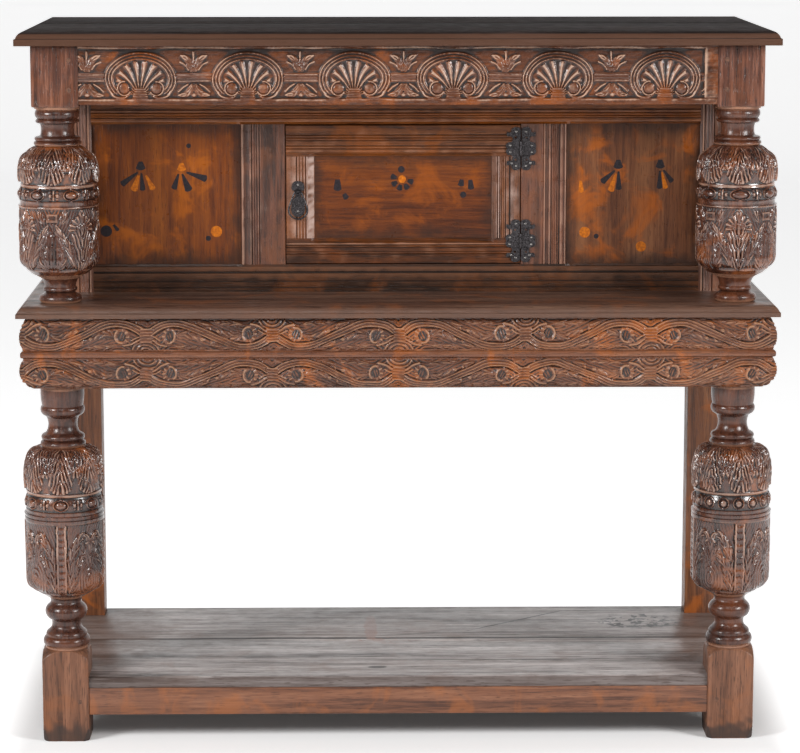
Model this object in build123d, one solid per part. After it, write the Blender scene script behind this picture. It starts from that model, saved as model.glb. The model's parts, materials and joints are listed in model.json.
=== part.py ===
from build123d import *
import os
from math import acos, atan2, cos, radians, sin, hypot

# Court cupboard in oak: an open lower stage on two bulbous turned columns and two plain rear
# posts, a middle frieze, a recessed cupboard with one hinged door behind two more turned
# columns, and a carved upper frieze under the top board. Units are millimetres.
# Origin: on the floor below the centre of the top board. +X right, -Y front, +Z up.

# ---- overall sizes ----
overall_width = 1220.0
overall_depth = 520.0
overall_height = 1168.0
side_overhang = 23.0            # top board past the outer faces of the blocks and posts
front_overhang = 28.0           # top board past the front faces of the blocks
back_overhang = 10.0            # top board past the backs of the rear posts
ledge_overhang = 29.0           # ends of the display ledge past the outer faces of the blocks

# ---- boards ----
top_thick = 22.0
top_seam = 18.0                 # joint between the two top boards, behind the middle
middle_thick = 19.0
middle_top_share = 729 / 1168   # height of the display ledge in the overall height
middle_seam = 30.0
pot_thick = 18.0
pot_top = 108.0                 # height of the lowest surface
pot_front_inset = 5.0           # behind the front faces of the foot blocks
pot_side_inset = 4.0
pot_seam_left = 27.0            # the joint in the pot board runs slightly askew
pot_seam_right = -20.0

# ---- corner timbers ----
block = 76.0                    # square blocks of the front columns
post_width = 68.0               # rear posts
post_depth = 52.0
foot_height = 153.0             # top of the square foot
foot_shoulder = 24.0            # height over which the lathe rounded the foot's corners
foot_corner_clear = 0.2         # lathe cut just outside the corners below the shoulder
foot_corner_cut = 4.0           # how far the rounding has come in at half its height
foot_worn_height = 38.0         # the corners are worn round below this
foot_worn_cut = 7.0             # how far the worn corners have come in at the floor
foot_top_lip = 1.0              # radius at the top of the foot past its flat faces
upper_block_height = 99.0
column_tenon_radius = 14.0      # round tenon of the upper column, through the middle boards
column_tenon_depth = 30.0       # how far it enters the lower block

# ---- rails ----
rail_thick = 24.0
bottom_rail_z = 45.0
bottom_rail_height = pot_top - pot_thick - bottom_rail_z
bottom_rail_set = 2.0           # set back from the block faces
middle_rail_height = 118.0
middle_back_rail_height = 70.0
top_rail_height = 95.0
tenon_thick = 12.0
tenon_length = 30.0
tenon_shoulder = 7.0
peg_radius = 4.0
peg_length = 40.0
peg_inset = 15.0                # from the shoulder of the joint to the peg
short_rail = 60.0               # rails lower than this take one peg in each joint

# ---- applied frieze mouldings ----
cushion_height = 52.0
cushion_bulge = 24.5            # projection of the roundest part of a cushion
cushion_bulge_height = 25.0     # height of that part above the lower edge
cushion_foot = 4.0              # projection of the lower cushion at its lower edge
cushion_quirk = 19.0            # projection of both cushions beside the fillet between them
cushion_head = 15.0             # projection of the upper cushion under the ledge
fillet_height = 11.6
fillet_projection = 23.0
upper_cushion_lip = 1.5         # flat at the top of the upper cushion

# ---- recessed cupboard ----
recess = 178.0                  # cupboard front behind the front edge of the boards
frame_thick = 22.0
frame_tenon_thick = 8.0
frame_tenon_length = 26.0
muntin_shoulder = 9.0
cupboard_side_inset = 7.0       # end of the cupboard inside the outer faces of the posts
sill_height = 45.8
head_drop = 43.4                # cupboard top rail below the top frieze rail
left_end_stile_width = 75.5
right_end_stile_width = 78.1
left_muntin_width = 74.4
right_muntin_width = 76.3
left_panel_share = 0.2861       # of the front between its four uprights; the right panel takes the rest
door_share = 0.456
panel_thick = 9.0
panel_set = 7.0                 # panels behind the face of the frame
panel_tongue = 7.0
end_panel_thick = 10.0
end_sill_thick = 24.0
end_tongue = 6.0
back_board_thick = 10.0
back_board_inset = 4.0          # in front of the backs of the posts
back_board_count = 5

# ---- door ----
door_gap_side = 1.4
door_gap_hinge = 1.0
door_gap_top = 1.6
door_gap_bottom = 1.2
door_stop_gap = 0.3
door_stile_width = 47.0
door_top_rail_width = 51.8
door_bottom_rail_width = 42.2
door_tenon_length = 24.0
door_tenon_thick = 7.0
door_tenon_shoulder = 8.0
stop_width = 18.0
stop_lap = 8.0                  # stop behind the closing edge of the door
stop_thick = 10.0

# ---- iron hinges ----
hinge_upper_drop = 40.6         # centre of the upper hinge below the top of the opening
hinge_lower_rise = 38.9         # centre of the lower one above the bottom
leaf_thick = 2.0
knuckle_radius = 2.6
knuckle_half = 11.0
knuckle_middle_half = 4.0
knuckle_gap = 0.2
knuckle_stand = 0.2             # barrel in front of the wood
pin_radius = 1.2
pin_clearance = 0.05
pin_head_radius = 2.0
pin_head_height = 1.2
pin_tail_radius = 0.75
pin_tail_length = 12.5
pin_end_gap = 0.3               # between the ends of the pin and the leaves above and below
nail_radius = 1.0
nail_head_radius = 2.1
nail_head_height = 1.0
nail_depth = 14.0
leaf_edge = 1.0                 # leaf beside the gap, from the hinge axis
leaf_edge_at_knuckle = 2.9

# ---- drop handle ----
handle_inset = 19.8             # centre line from the closing edge of the door
handle_rise_share = 0.52277     # height of the pivot in the opening
handle_plate_thick = 1.6
handle_pivot_stand = 4.2        # pivot in front of the plate
wire_radius = 1.5
eye_clearance = 0.06
eye_radius = 3.4
eye_width = 4.0
shank_radius = 1.6
shank_length = 26.0
loop_bar = 6.4                  # straight top of the drop, through the eye
loop_corner = 3.0
loop_belly = 15.6
loop_drop = 45.5
plate_nail_rises = (11.0, -33.0)  # nails of the plate above and below the pivot

# ---- inlay ----
inlay_thick = 1.2
petal_bow = 0.22               # rise of a petal's bowed end as a share of its width
# Flowers of the panels: a bud is (across, up, radius) and a petal (root across, root up, tip across,
# tip up, root width, tip width). Across is a share of the panel's width, the rest of its height.
left_flower_dark = [
    (0.328, 0.735, 0.328, 0.672, 0.028, 0.07), (0.308, 0.657, 0.195, 0.569, 0.013, 0.046),
    (0.332, 0.653, 0.34, 0.526, 0.013, 0.042), (0.583, 0.646, 0.549, 0.535, 0.013, 0.044),
    (0.608, 0.646, 0.655, 0.522, 0.013, 0.056), (0.636, 0.657, 0.775, 0.608, 0.013, 0.05),
    (0.089, 0.238, 0.041), (0.138, 0.284, 0.171, 0.241, 0.017, 0.026), (0.78, 0.185, 0.019),
    (0.653, 0.846, 0.017),
]
left_flower_light = [
    (0.604, 0.722, 0.604, 0.665, 0.028, 0.064), (0.835, 0.234, 0.04), (0.314, 0.636, 0.277, 0.524, 0.017, 0.052),
    (0.363, 0.636, 0.412, 0.533, 0.013, 0.043),
]
right_flower_dark = [
    (0.388, 0.742, 0.388, 0.676, 0.028, 0.07), (0.362, 0.664, 0.263, 0.58, 0.013, 0.046),
    (0.39, 0.659, 0.394, 0.526, 0.013, 0.044), (0.704, 0.742, 0.704, 0.678, 0.028, 0.066),
    (0.702, 0.664, 0.7, 0.533, 0.013, 0.042), (0.729, 0.668, 0.797, 0.582, 0.013, 0.038),
    (0.227, 0.195, 0.018),
]
right_flower_light = [
    (0.372, 0.644, 0.331, 0.515, 0.013, 0.047), (0.14, 0.223, 0.039),
    (0.716, 0.653, 0.748, 0.535, 0.011, 0.036),
    (0.106, 0.593, 0.111, 0.507, 0.017, 0.039), (0.566, 0.12, 0.037),
]
door_flower_dark = [
    (0.493, 0.676, 0.024), (0.222, 0.604, 0.222, 0.522, 0.035, 0.058),
    (0.249, 0.502, 0.262, 0.464, 0.028, 0.042), (0.75, 0.603, 0.745, 0.553, 0.028, 0.045),
    (0.786, 0.6, 0.79, 0.53, 0.028, 0.045), (0.756, 0.494, 0.022),
]
wreath_middle = (0.496, 0.606, 0.027)  # bud in the middle of the door's wreath
wreath_petals = range(-195, 30, 45)     # directions of its petals in degrees
wreath_roots = (0.04, 0.022)              # radius and width at their roots
wreath_tips = (0.084, 0.044)

# ---- derived places ----
half_width = overall_width / 2
front_edge = -overall_depth / 2
back_edge = overall_depth / 2
outer_x = half_width - side_overhang
inner_x = outer_x - block
face_y = front_edge + front_overhang
block_back_y = face_y + block
column_x = outer_x - block / 2
column_y = face_y + block / 2
post_inner_x = outer_x - post_width
post_back_y = back_edge - back_overhang
post_front_y = post_back_y - post_depth
top_bottom = overall_height - top_thick
middle_top = overall_height * middle_top_share
middle_bottom = middle_top - middle_thick
pot_bottom = pot_top - pot_thick
middle_rail_z = middle_bottom - middle_rail_height
top_rail_z = top_bottom - top_rail_height
upper_block_z = top_bottom - upper_block_height
cupboard_y = front_edge + recess
cupboard_back_y = cupboard_y + frame_thick
cupboard_side_x = outer_x - cupboard_side_inset
opening_z = middle_top + sill_height
head_z = top_rail_z - head_drop
opening_height = head_z - opening_z
left_end_stile_inner = left_end_stile_width - cupboard_side_x
right_end_stile_inner = cupboard_side_x - right_end_stile_width
openings_width = right_end_stile_inner - left_end_stile_inner - left_muntin_width - right_muntin_width
left_muntin_x = left_end_stile_inner + openings_width * left_panel_share
door_opening_x = left_muntin_x + left_muntin_width
right_muntin_x = door_opening_x + openings_width * door_share
right_panel_x = right_muntin_x + right_muntin_width
panel_y = cupboard_y + panel_set
door_x = (door_opening_x + door_gap_side, right_muntin_x - door_gap_hinge)
door_z = (opening_z + door_gap_bottom, head_z - door_gap_top)
door_y = (cupboard_y, cupboard_back_y - door_stop_gap)
hinge_x = right_muntin_x
hinge_y = cupboard_y - knuckle_stand - knuckle_radius
hinge_heights = (head_z - hinge_upper_drop, opening_z + hinge_lower_rise)
handle_x = door_x[0] + handle_inset
handle_z = opening_z + opening_height * handle_rise_share
handle_y = cupboard_y - handle_plate_thick - handle_pivot_stand


# ---- small makers ----
def box(xs, ys, zs):
    """Box between two limits on each axis, given in either order."""
    size = [abs(pair[1] - pair[0]) for pair in (xs, ys, zs)]
    centre = [(pair[0] + pair[1]) / 2 for pair in (xs, ys, zs)]
    return Pos(*centre) * Box(*size)


def rod(start, direction, length, radius):
    """Cylinder from a start point along a direction."""
    disc = Plane(origin=start, z_dir=direction) * Circle(radius)
    return extrude(disc, amount=length)


def trace(start, steps, place):
    """Edges through 2-D points: (u, v) is a straight step, (um, vm, u, v) an arc by (um, vm)."""
    edges, here = [], start
    for step in steps:
        if len(step) == 2 and step != here:
            edges.append(Edge.make_line(place(*here), place(*step)))
        elif len(step) == 4:
            edges.append(Edge.make_three_point_arc(place(*here), place(*step[:2]), place(*step[2:])))
        here = step[-2:]
    return edges


def filled(start, steps, place):
    """Face inside a closed trace."""
    return Face(Wire(trace(start, list(steps) + [start], place)))


def turned(start_z, steps, end_z):
    """Solid of revolution about Z from steps of (radius, z), closed along the axis."""
    around = [(0, end_z)]
    outline = filled((0, start_z), list(steps) + around, lambda r, z: Vector(r, 0, z))
    return revolve(outline, axis=Axis.Z)


def prism(points, z0, z1):
    """Upright prism on a plan outline."""
    plan = Face(Wire.make_polygon([Vector(x, y, z0) for x, y in points], close=True))
    return extrude(plan, amount=z1 - z0, dir=(0, 0, 1))


def both_sides(shape):
    """A right-hand piece and its mirror image on the left."""
    return {"left": mirror(shape, about=Plane.YZ), "right": shape}


def lifted(steps, rise):
    """Steps of (radius, height) moved up, arcs included."""
    return [tuple(v + rise * (i % 2) for i, v in enumerate(step)) for step in steps]


# ---- rails with a tenon at each end ----
def rail_x(xs, y, zs, thick, tenon=(tenon_length, tenon_thick, tenon_shoulder)):
    length, width, shoulder = tenon
    middle = y + thick / 2
    tongue_y = (middle - width / 2, middle + width / 2)
    tongue = box((xs[0] - length, xs[1] + length), tongue_y, (zs[0] + shoulder, zs[1] - shoulder))
    return box(xs, (y, y + thick), zs) + tongue


def rail_y(outer, ys, zs, thick, tenon=(tenon_length, tenon_thick, tenon_shoulder)):
    length, width, shoulder = tenon
    middle = outer - thick / 2
    tongue_x = (middle - width / 2, middle + width / 2)
    tongue = box(tongue_x, (ys[0] - length, ys[1] + length), (zs[0] + shoulder, zs[1] - shoulder))
    return box((outer - thick, outer), ys, zs) + tongue


def rail_z(xs, y, zs, thick, tenon):
    length, width, shoulder = tenon
    middle = y + thick / 2
    tongue_y = (middle - width / 2, middle + width / 2)
    tongue = box((xs[0] + shoulder, xs[1] - shoulder), tongue_y, (zs[0] - length, zs[1] + length))
    return box(xs, (y, y + thick), zs) + tongue


bottom_zs = (bottom_rail_z, bottom_rail_z + bottom_rail_height)
middle_zs = (middle_rail_z, middle_bottom)
middle_back_zs = (middle_bottom - middle_back_rail_height, middle_bottom)
top_zs = (top_rail_z, top_bottom)
between_blocks = (-inner_x, inner_x)
between_posts = (-post_inner_x, post_inner_x)
block_to_post = (block_back_y, post_front_y)
back_rail_y = post_back_y - rail_thick

front_rails = {
    "bottom_rail_front": rail_x(between_blocks, face_y + bottom_rail_set, bottom_zs, rail_thick),
    "middle_rail_front": rail_x(between_blocks, face_y, middle_zs, rail_thick),
    "top_rail_front": rail_x(between_blocks, face_y, top_zs, rail_thick),
}
back_rails = {
    "bottom_rail_back": rail_x(between_posts, back_rail_y, bottom_zs, rail_thick),
    "middle_rail_back": rail_x(between_posts, back_rail_y, middle_back_zs, rail_thick),
    "top_rail_back": rail_x(between_posts, back_rail_y, top_zs, rail_thick),
}
side_rails = {
    "bottom_rail": rail_y(outer_x - bottom_rail_set, block_to_post, bottom_zs, rail_thick),
    "middle_rail": rail_y(outer_x, block_to_post, middle_zs, rail_thick),
    "top_rail": rail_y(outer_x, block_to_post, top_zs, rail_thick),
}


# ---- pegs through the mortise and tenon joints ----
def peg_heights(zs):
    height = zs[1] - zs[0]
    if height < short_rail:
        return [(zs[0] + zs[1]) / 2]
    return [zs[0] + height / 4, zs[1] - height / 4]


def corner_pegs():
    """Pegs of the right-hand corners, flush with the faces they are driven from."""
    pegs = []
    for zs in (bottom_zs, middle_zs, top_zs):
        for z in peg_heights(zs):
            front = (inner_x + peg_inset, face_y, z)
            pegs.append(rod(front, (0, 1, 0), peg_length, peg_radius))
            for y in (block_back_y - peg_inset, post_front_y + peg_inset):
                pegs.append(rod((outer_x, y, z), (-1, 0, 0), peg_length, peg_radius))
    for zs in (bottom_zs, middle_back_zs, top_zs):
        for z in peg_heights(zs):
            back = (post_inner_x + peg_inset, post_back_y, z)
            pegs.append(rod(back, (0, -1, 0), peg_length, peg_radius))
    return pegs


right_pegs = corner_pegs()
all_pegs = right_pegs + [mirror(peg, about=Plane.YZ) for peg in right_pegs]


def bored(shape, cutters):
    """Shape less each cutter that reaches its bounding box."""
    reach = shape.bounding_box()
    for cutter in cutters:
        other = cutter.bounding_box()
        apart = any(
            getattr(other.max, axis) < getattr(reach.min, axis)
            or getattr(other.min, axis) > getattr(reach.max, axis)
            for axis in ("X", "Y", "Z")
        )
        if not apart:
            shape = shape - cutter
    return shape


# ---- turned columns ----
# Steps are (radius, height) or an arc (radius, height, radius, height). Heights count up from
# the foot or the board below, or down from the block above; the cup between them is plain.
lower_stem_up = [
    (35, 0), (35, 3), (38.5, 11, 35.5, 19), (33.5, 20), (33.5, 25, 29, 30), (25.5, 34),
    (23.8, 41, 25, 47), (27, 48.5), (34.5, 61, 27.5, 74), (26, 76), (25.5, 81, 29, 86),
    (37, 91), (49, 98), (60.5, 106, 64.5, 120),
]
lower_head_down = [
    (65.5, -209), (62, -209), (62, -205), (65, -191.5, 62, -179), (61, -174),
    (63.5, -173), (66.4, -146, 62, -118), (57, -108, 47, -102), (34, -100.5),
    (37, -96, 34, -91), (32, -90), (35.5, -85, 32, -80), (28, -78), (23.7, -63, 27, -51),
    (32, -48), (36, -41, 34.5, -34), (33.5, -33), (35.5, -17, 35, 0),
]
upper_foot_up = [
    (31, 0), (34.5, 6.5, 31, 13), (27, 14), (23, 18), (27.5, 21, 25, 26), (27, 34, 32, 41),
    (46, 48), (58, 59), (63, 66, 64.8, 78),
]
upper_head_down = [
    (65.2, -158), (62, -158), (62, -152), (65.5, -141, 62, -130), (60.7, -126),
    (62.7, -124), (66.2, -107, 63.5, -88), (59.5, -79.5, 51, -73), (42, -66, 35, -63),
    (39, -55, 34, -49),
    (28, -47), (26.5, -37, 28, -27), (31, -25), (35.5, -14, 33, -5), (37, -4), (37, 0),
]


def column_blank(up, down, z0, z1):
    """Turned length between two heights."""
    return turned(z0, lifted(up, z0) + lifted(down, z1), z1)


def lower_column():
    half = (-block / 2, block / 2)
    corner = block / 2 * 2 ** 0.5 + foot_corner_clear
    shoulder_z = foot_height - foot_shoulder
    arch = [(corner - foot_worn_cut, 0),
            (corner - foot_worn_cut / 4, foot_worn_height / 2, corner, foot_worn_height),
            (corner, shoulder_z),
            (corner - foot_corner_cut, shoulder_z + foot_shoulder / 2,
             half[1] + foot_top_lip, foot_height)]
    foot = box(half, half, (0, foot_height)) & turned(0, arch, foot_height)
    stem = column_blank(lower_stem_up, lower_head_down, foot_height, middle_rail_z)
    head = box(half, half, (middle_rail_z, middle_bottom))
    return Pos(column_x, column_y, 0) * (foot + stem + head)


def column_tenon():
    bottom = (column_x, column_y, middle_bottom - column_tenon_depth)
    return rod(bottom, (0, 0, 1), middle_top - bottom[2], column_tenon_radius)


def upper_column():
    half = (-block / 2, block / 2)
    stem = column_blank(upper_foot_up, upper_head_down, middle_top, upper_block_z)
    head = box(half, half, (upper_block_z, top_bottom))
    return Pos(column_x, column_y, 0) * (stem + head) + column_tenon()


def rear_post():
    return box((post_inner_x, outer_x), (post_front_y, post_back_y), (0, top_bottom))


# ---- moulded boards ----
top_edge = [(0, 11), (3, 11), (3, 13), (10, 21, 23, top_thick)]
middle_edge = [(0, 7.5), (2, 7.5), (2, 8.5), (7, 16, 19, middle_thick)]


def moulded_board(half, bottom, thick, edge, back):
    """Board of a given half width, with its moulding along the front and both ends."""
    far = overall_width + overall_depth

    def run(place, direction):
        outline = filled((0, 0), edge + [(far, thick), (far, 0)], place)
        return extrude(outline, amount=far, dir=direction)

    front = run(lambda u, v: Vector(-half, front_edge + u, bottom + v), (1, 0, 0))
    left = run(lambda u, v: Vector(-half + u, front_edge, bottom + v), (0, 1, 0))
    right = run(lambda u, v: Vector(half - u, front_edge, bottom + v), (0, 1, 0))
    trim = box((-half, half), (front_edge, back), (bottom, bottom + thick))
    return front & left & right & trim


def split_board(board, seam_left, seam_right, back):
    """Front and rear boards either side of a straight joint."""
    zs = (board.bounding_box().min.Z, board.bounding_box().max.Z)
    half = half_width + ledge_overhang
    seam = [(half, seam_right), (-half, seam_left)]
    front = prism([(-half, front_edge), (half, front_edge), *seam], *zs)
    rear = prism([(-half, back), (half, back), *seam], *zs)
    return {"front": board & front, "rear": board & rear}


def top_boards():
    board = moulded_board(half_width, top_bottom, top_thick, top_edge, back_edge)
    return split_board(board, top_seam, top_seam, back_edge)


def middle_boards(uprights):
    half = outer_x + ledge_overhang
    board = moulded_board(half, middle_bottom, middle_thick, middle_edge, post_back_y)
    return split_board(bored(board, uprights), middle_seam, middle_seam, post_back_y)


def pot_boards(uprights):
    side = outer_x - pot_side_inset
    board = box((-side, side), (face_y + pot_front_inset, post_back_y), (pot_bottom, pot_top))
    nose = board.edges().filter_by(Axis.X).sort_by(Axis.Y)[:2].sort_by(Axis.Z)[-1]
    board = fillet(nose, pot_thick / 3)
    return split_board(bored(board, uprights), pot_seam_left, pot_seam_right, post_back_y)


# ---- frieze mouldings ----
lower_section = [
    (cushion_foot, 0), (cushion_bulge, cushion_bulge_height, cushion_quirk, cushion_height),
    (fillet_projection, cushion_height), (fillet_projection, cushion_height + fillet_height),
    (0, cushion_height + fillet_height),
]
upper_section_height = middle_rail_height - cushion_height - fillet_height
upper_section = [
    (cushion_quirk, 0),
    (cushion_bulge, cushion_bulge_height, cushion_head, upper_section_height - upper_cushion_lip),
    (cushion_head, upper_section_height), (0, upper_section_height),
]


def frieze(section, z):
    """One moulding along the front and the right side, mitred at the corner."""
    reach = 2 * cushion_bulge
    mitre = [(outer_x, face_y), (outer_x + reach, face_y - reach)]
    other_mitre = [(-x, y) for x, y in reversed(mitre)]
    side_end = [(outer_x + reach, post_back_y), (outer_x, post_back_y)]
    front_zone = prism([*mitre, *other_mitre], 0, top_bottom)
    side_zone = prism([*mitre, *side_end], 0, top_bottom)
    front = filled((0, 0), section, lambda d, v: Vector(-outer_x - reach, face_y - d, z + v))
    side = filled((0, 0), section, lambda d, v: Vector(outer_x + d, face_y - reach, z + v))
    front = extrude(front, amount=2 * (outer_x + reach), dir=(1, 0, 0)) & front_zone
    side = extrude(side, amount=post_back_y - face_y + reach, dir=(0, 1, 0)) & side_zone
    return {"front": front, **both_sides(side)}


# ---- recessed cupboard ----
frame_tenon = (frame_tenon_length, frame_tenon_thick, tenon_shoulder)
cupboard_sill = rail_x((left_end_stile_inner, right_end_stile_inner), cupboard_y,
                       (middle_top, opening_z), frame_thick, frame_tenon)
cupboard_head = rail_x((left_end_stile_inner, right_end_stile_inner), cupboard_y,
                       (head_z, top_bottom), frame_thick, frame_tenon)
muntin_tenon = (frame_tenon_length, frame_tenon_thick, muntin_shoulder)
muntins = {
    side: rail_z(xs, cupboard_y, (opening_z, head_z), frame_thick, muntin_tenon)
    for side, xs in (("left", (left_muntin_x, door_opening_x)),
                     ("right", (right_muntin_x, right_panel_x)))
}


def fixed_panel(xs):
    wide = (xs[0] - panel_tongue, xs[1] + panel_tongue)
    tall = (opening_z - panel_tongue, head_z + panel_tongue)
    return box(wide, (panel_y, panel_y + panel_thick), tall)


fixed_panels = {
    "left": fixed_panel((left_end_stile_inner, left_muntin_x)),
    "right": fixed_panel((right_panel_x, right_end_stile_inner)),
}
end_middle_x = cupboard_side_x - end_sill_thick / 2
end_sill = rail_y(cupboard_side_x, (cupboard_back_y, post_front_y), (middle_top, opening_z),
                  end_sill_thick, (frame_thick - muntin_shoulder, frame_tenon_thick, muntin_shoulder))
end_panel = box((end_middle_x - end_panel_thick / 2, end_middle_x + end_panel_thick / 2),
                (cupboard_back_y - end_tongue, post_front_y + end_tongue),
                (opening_z - end_tongue, top_rail_z + end_tongue))


def end_stile(inner, side):
    """Corner stile, cut away where it passes inside the top side rail."""
    stile = box((inner, side * cupboard_side_x), (cupboard_y, cupboard_back_y), (middle_top, top_bottom))
    notch = box((side * (outer_x - rail_thick), side * outer_x), (cupboard_y, cupboard_back_y), top_zs)
    return stile - notch


def back_boards():
    """Upright boards side by side, let into the posts, the top back rail and the middle board."""
    reach = post_inner_x + end_tongue
    width = 2 * reach / back_board_count
    y = post_back_y - back_board_inset - back_board_thick
    ys = (y, y + back_board_thick)
    zs = (middle_top - end_tongue, top_rail_z + end_tongue)
    return [box((-reach + i * width, -reach + (i + 1) * width), ys, zs) for i in range(back_board_count)]


# ---- door ----
def door_parts():
    inner = (door_x[0] + door_stile_width, door_x[1] - door_stile_width)
    thick = door_y[1] - door_y[0]
    tenon = (door_tenon_length, door_tenon_thick, door_tenon_shoulder)
    top_zs_door = (door_z[1] - door_top_rail_width, door_z[1])
    bottom_zs_door = (door_z[0], door_z[0] + door_bottom_rail_width)
    panel = box((inner[0] - panel_tongue, inner[1] + panel_tongue), (panel_y, panel_y + panel_thick),
                (bottom_zs_door[1] - panel_tongue, top_zs_door[0] + panel_tongue))
    stile_zs = (bottom_zs_door[1], top_zs_door[0])
    stiles = {
        "door_stile_handle": rail_z((door_x[0], inner[0]), door_y[0], stile_zs, thick, tenon),
        "door_stile_hinge": rail_z((inner[1], door_x[1]), door_y[0], stile_zs, thick, tenon),
    }
    rails = {
        "door_rail_top": box(door_x, door_y, top_zs_door),
        "door_rail_bottom": box(door_x, door_y, bottom_zs_door),
    }
    for name in rails:
        rails[name] = bored(rails[name], [*stiles.values(), panel])
    for name in stiles:
        stiles[name] = stiles[name] - panel
    return {**stiles, **rails, "door_panel": panel}


def door_stop():
    """Strip on the back of the left muntin that the closing edge of the door meets."""
    xs = (door_x[0] + stop_lap - stop_width, door_x[0] + stop_lap)
    return box(xs, (cupboard_back_y, cupboard_back_y + stop_thick), door_z)


# ---- iron hinges ----
# Upper half of a leaf, from the edge beside the gap round to the outer edge: u out, v up.
leaf_crest = [
    (leaf_edge, 27), (2.2, 33.6, 7.5, 35.4), (13.5, 34.4, 16.3, 29.8), (18.6, 26.4, 22.3, 28),
    (24, 24, 20.4, 19.8), (15.6, 19.4, 14.2, 15.2), (15.2, 11.8, 19.6, 10.6), (24.4, 7, 23.4, 0),
]
leaf_nails = [(8, 28.5), (17.8, 5.5), (17.8, -6), (8, -28.5), (15.5, -24)]
leaf_piercings = [(9, 18.5), (9, -18.5)]
piercing_radius = 1.9


def upside_down(steps, start):
    """Steps mirrored top to bottom and run backwards."""
    points = [start] + list(steps)
    result = []
    for before, step in zip(reversed(points[:-1]), reversed(points[1:])):
        end = before[-2:]
        arc = step[:2] if len(step) == 4 else ()
        flat = (*arc, *end)
        result.append(tuple(-v if i % 2 else v for i, v in enumerate(flat)))
    return result


def hinge_leaf(side, z, door_side):
    """Leaf and knuckles of one hinge; side is +1 for the frame and -1 for the door."""
    rim = (leaf_edge, knuckle_half + max(pin_head_height, 2 * pin_tail_radius) + pin_end_gap)
    start = (leaf_edge_at_knuckle, rim[1])
    steps = [rim] + leaf_crest + upside_down(leaf_crest, rim)
    steps += [(leaf_edge, -rim[1]), (leaf_edge_at_knuckle, -rim[1])]
    place = lambda u, v: Vector(hinge_x + side * u, cupboard_y, z + v)
    leaf = extrude(filled(start, steps, place), amount=leaf_thick, dir=(0, -1, 0))
    for u, v in leaf_piercings:
        leaf -= rod(place(u, v), (0, -1, 0), leaf_thick, piercing_radius)
    reach = knuckle_middle_half - knuckle_gap / 2
    outer = (knuckle_middle_half + knuckle_gap / 2, knuckle_half)
    spans = [(-reach, reach)] if door_side else [outer, (-outer[1], -outer[0])]
    bore = pin_radius + (pin_clearance if door_side else 0)
    for low, high in spans:
        tab = box((hinge_x, hinge_x + side * (leaf_edge_at_knuckle + 1)),
                  (cupboard_y - knuckle_stand, cupboard_y - leaf_thick), (z + low, z + high))
        barrel = rod((hinge_x, hinge_y, z + low), (0, 0, 1), high - low, knuckle_radius)
        leaf = leaf + tab + barrel - rod((hinge_x, hinge_y, z + low), (0, 0, 1), high - low, bore)
    return leaf


def hinge_pin(z):
    """Pin with a head on top and a thin tail bent over the frame leaf."""
    low = z - knuckle_half
    pin = rod((hinge_x, hinge_y, low), (0, 0, 1), 2 * knuckle_half, pin_radius)
    head = rod((hinge_x, hinge_y, z + knuckle_half), (0, 0, 1), pin_head_height, pin_head_radius)
    foot = rod((hinge_x, hinge_y, low), (0, 0, -1), 2 * pin_tail_radius, pin_radius)
    tail = rod((hinge_x, hinge_y, low - pin_tail_radius), (1, 0, 0), pin_tail_length, pin_tail_radius)
    return pin + head + foot + tail


def nail(x, z, plate_thick):
    """Nail with a domed head, driven from the front."""
    face = cupboard_y - plate_thick
    crown = (nail_head_radius * 0.8, nail_head_height * 0.7, nail_head_radius * 0.15, nail_head_height)
    dome = turned(0, [(nail_head_radius, 0), crown], nail_head_height)
    head = Plane(origin=(x, face, z), z_dir=(0, -1, 0)) * dome
    return head + rod((x, face, z), (0, 1, 0), plate_thick + nail_depth, nail_radius)


def leaf_nail_set(side):
    return [nail(hinge_x + side * u, z + v, leaf_thick)
            for z in hinge_heights for u, v in leaf_nails]


# ---- drop handle ----
def handle_plate():
    """Leaf-shaped back plate, wider where the drop rests on it."""
    top = (0, 17)
    half = [(7, 15.5, 10, 9.5), (10.4, 4, 6.6, 1), (5, -3, 5, -8), (9.6, -16, 11.4, -26),
            (9.6, -36, 0, -42.5)]
    mirrored = []
    points = [top] + half
    for before, step in zip(reversed(points[:-1]), reversed(points[1:])):
        mirrored.append((-step[0], step[1], -before[-2], before[-1]))
    place = lambda u, v: Vector(handle_x + u, cupboard_y, handle_z + v)
    outline = Face(Wire(trace(top, half + mirrored, place)))
    return extrude(outline, amount=handle_plate_thick, dir=(0, -1, 0))


def handle_staple():
    """Eye for the drop, on a shank through the plate and the stile."""
    plate_face = cupboard_y - handle_plate_thick
    left = handle_x - eye_width / 2
    neck_zs = (handle_z - eye_radius, handle_z + eye_radius)
    neck = box((left, left + eye_width), (plate_face, handle_y), neck_zs)
    eye = rod((left, handle_y, handle_z), (1, 0, 0), eye_width, eye_radius)
    hole = rod((left, handle_y, handle_z), (1, 0, 0), eye_width, wire_radius + eye_clearance)
    shank = rod((handle_x, plate_face, handle_z), (0, 1, 0), shank_length, shank_radius)
    return neck + eye - hole + shank


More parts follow.
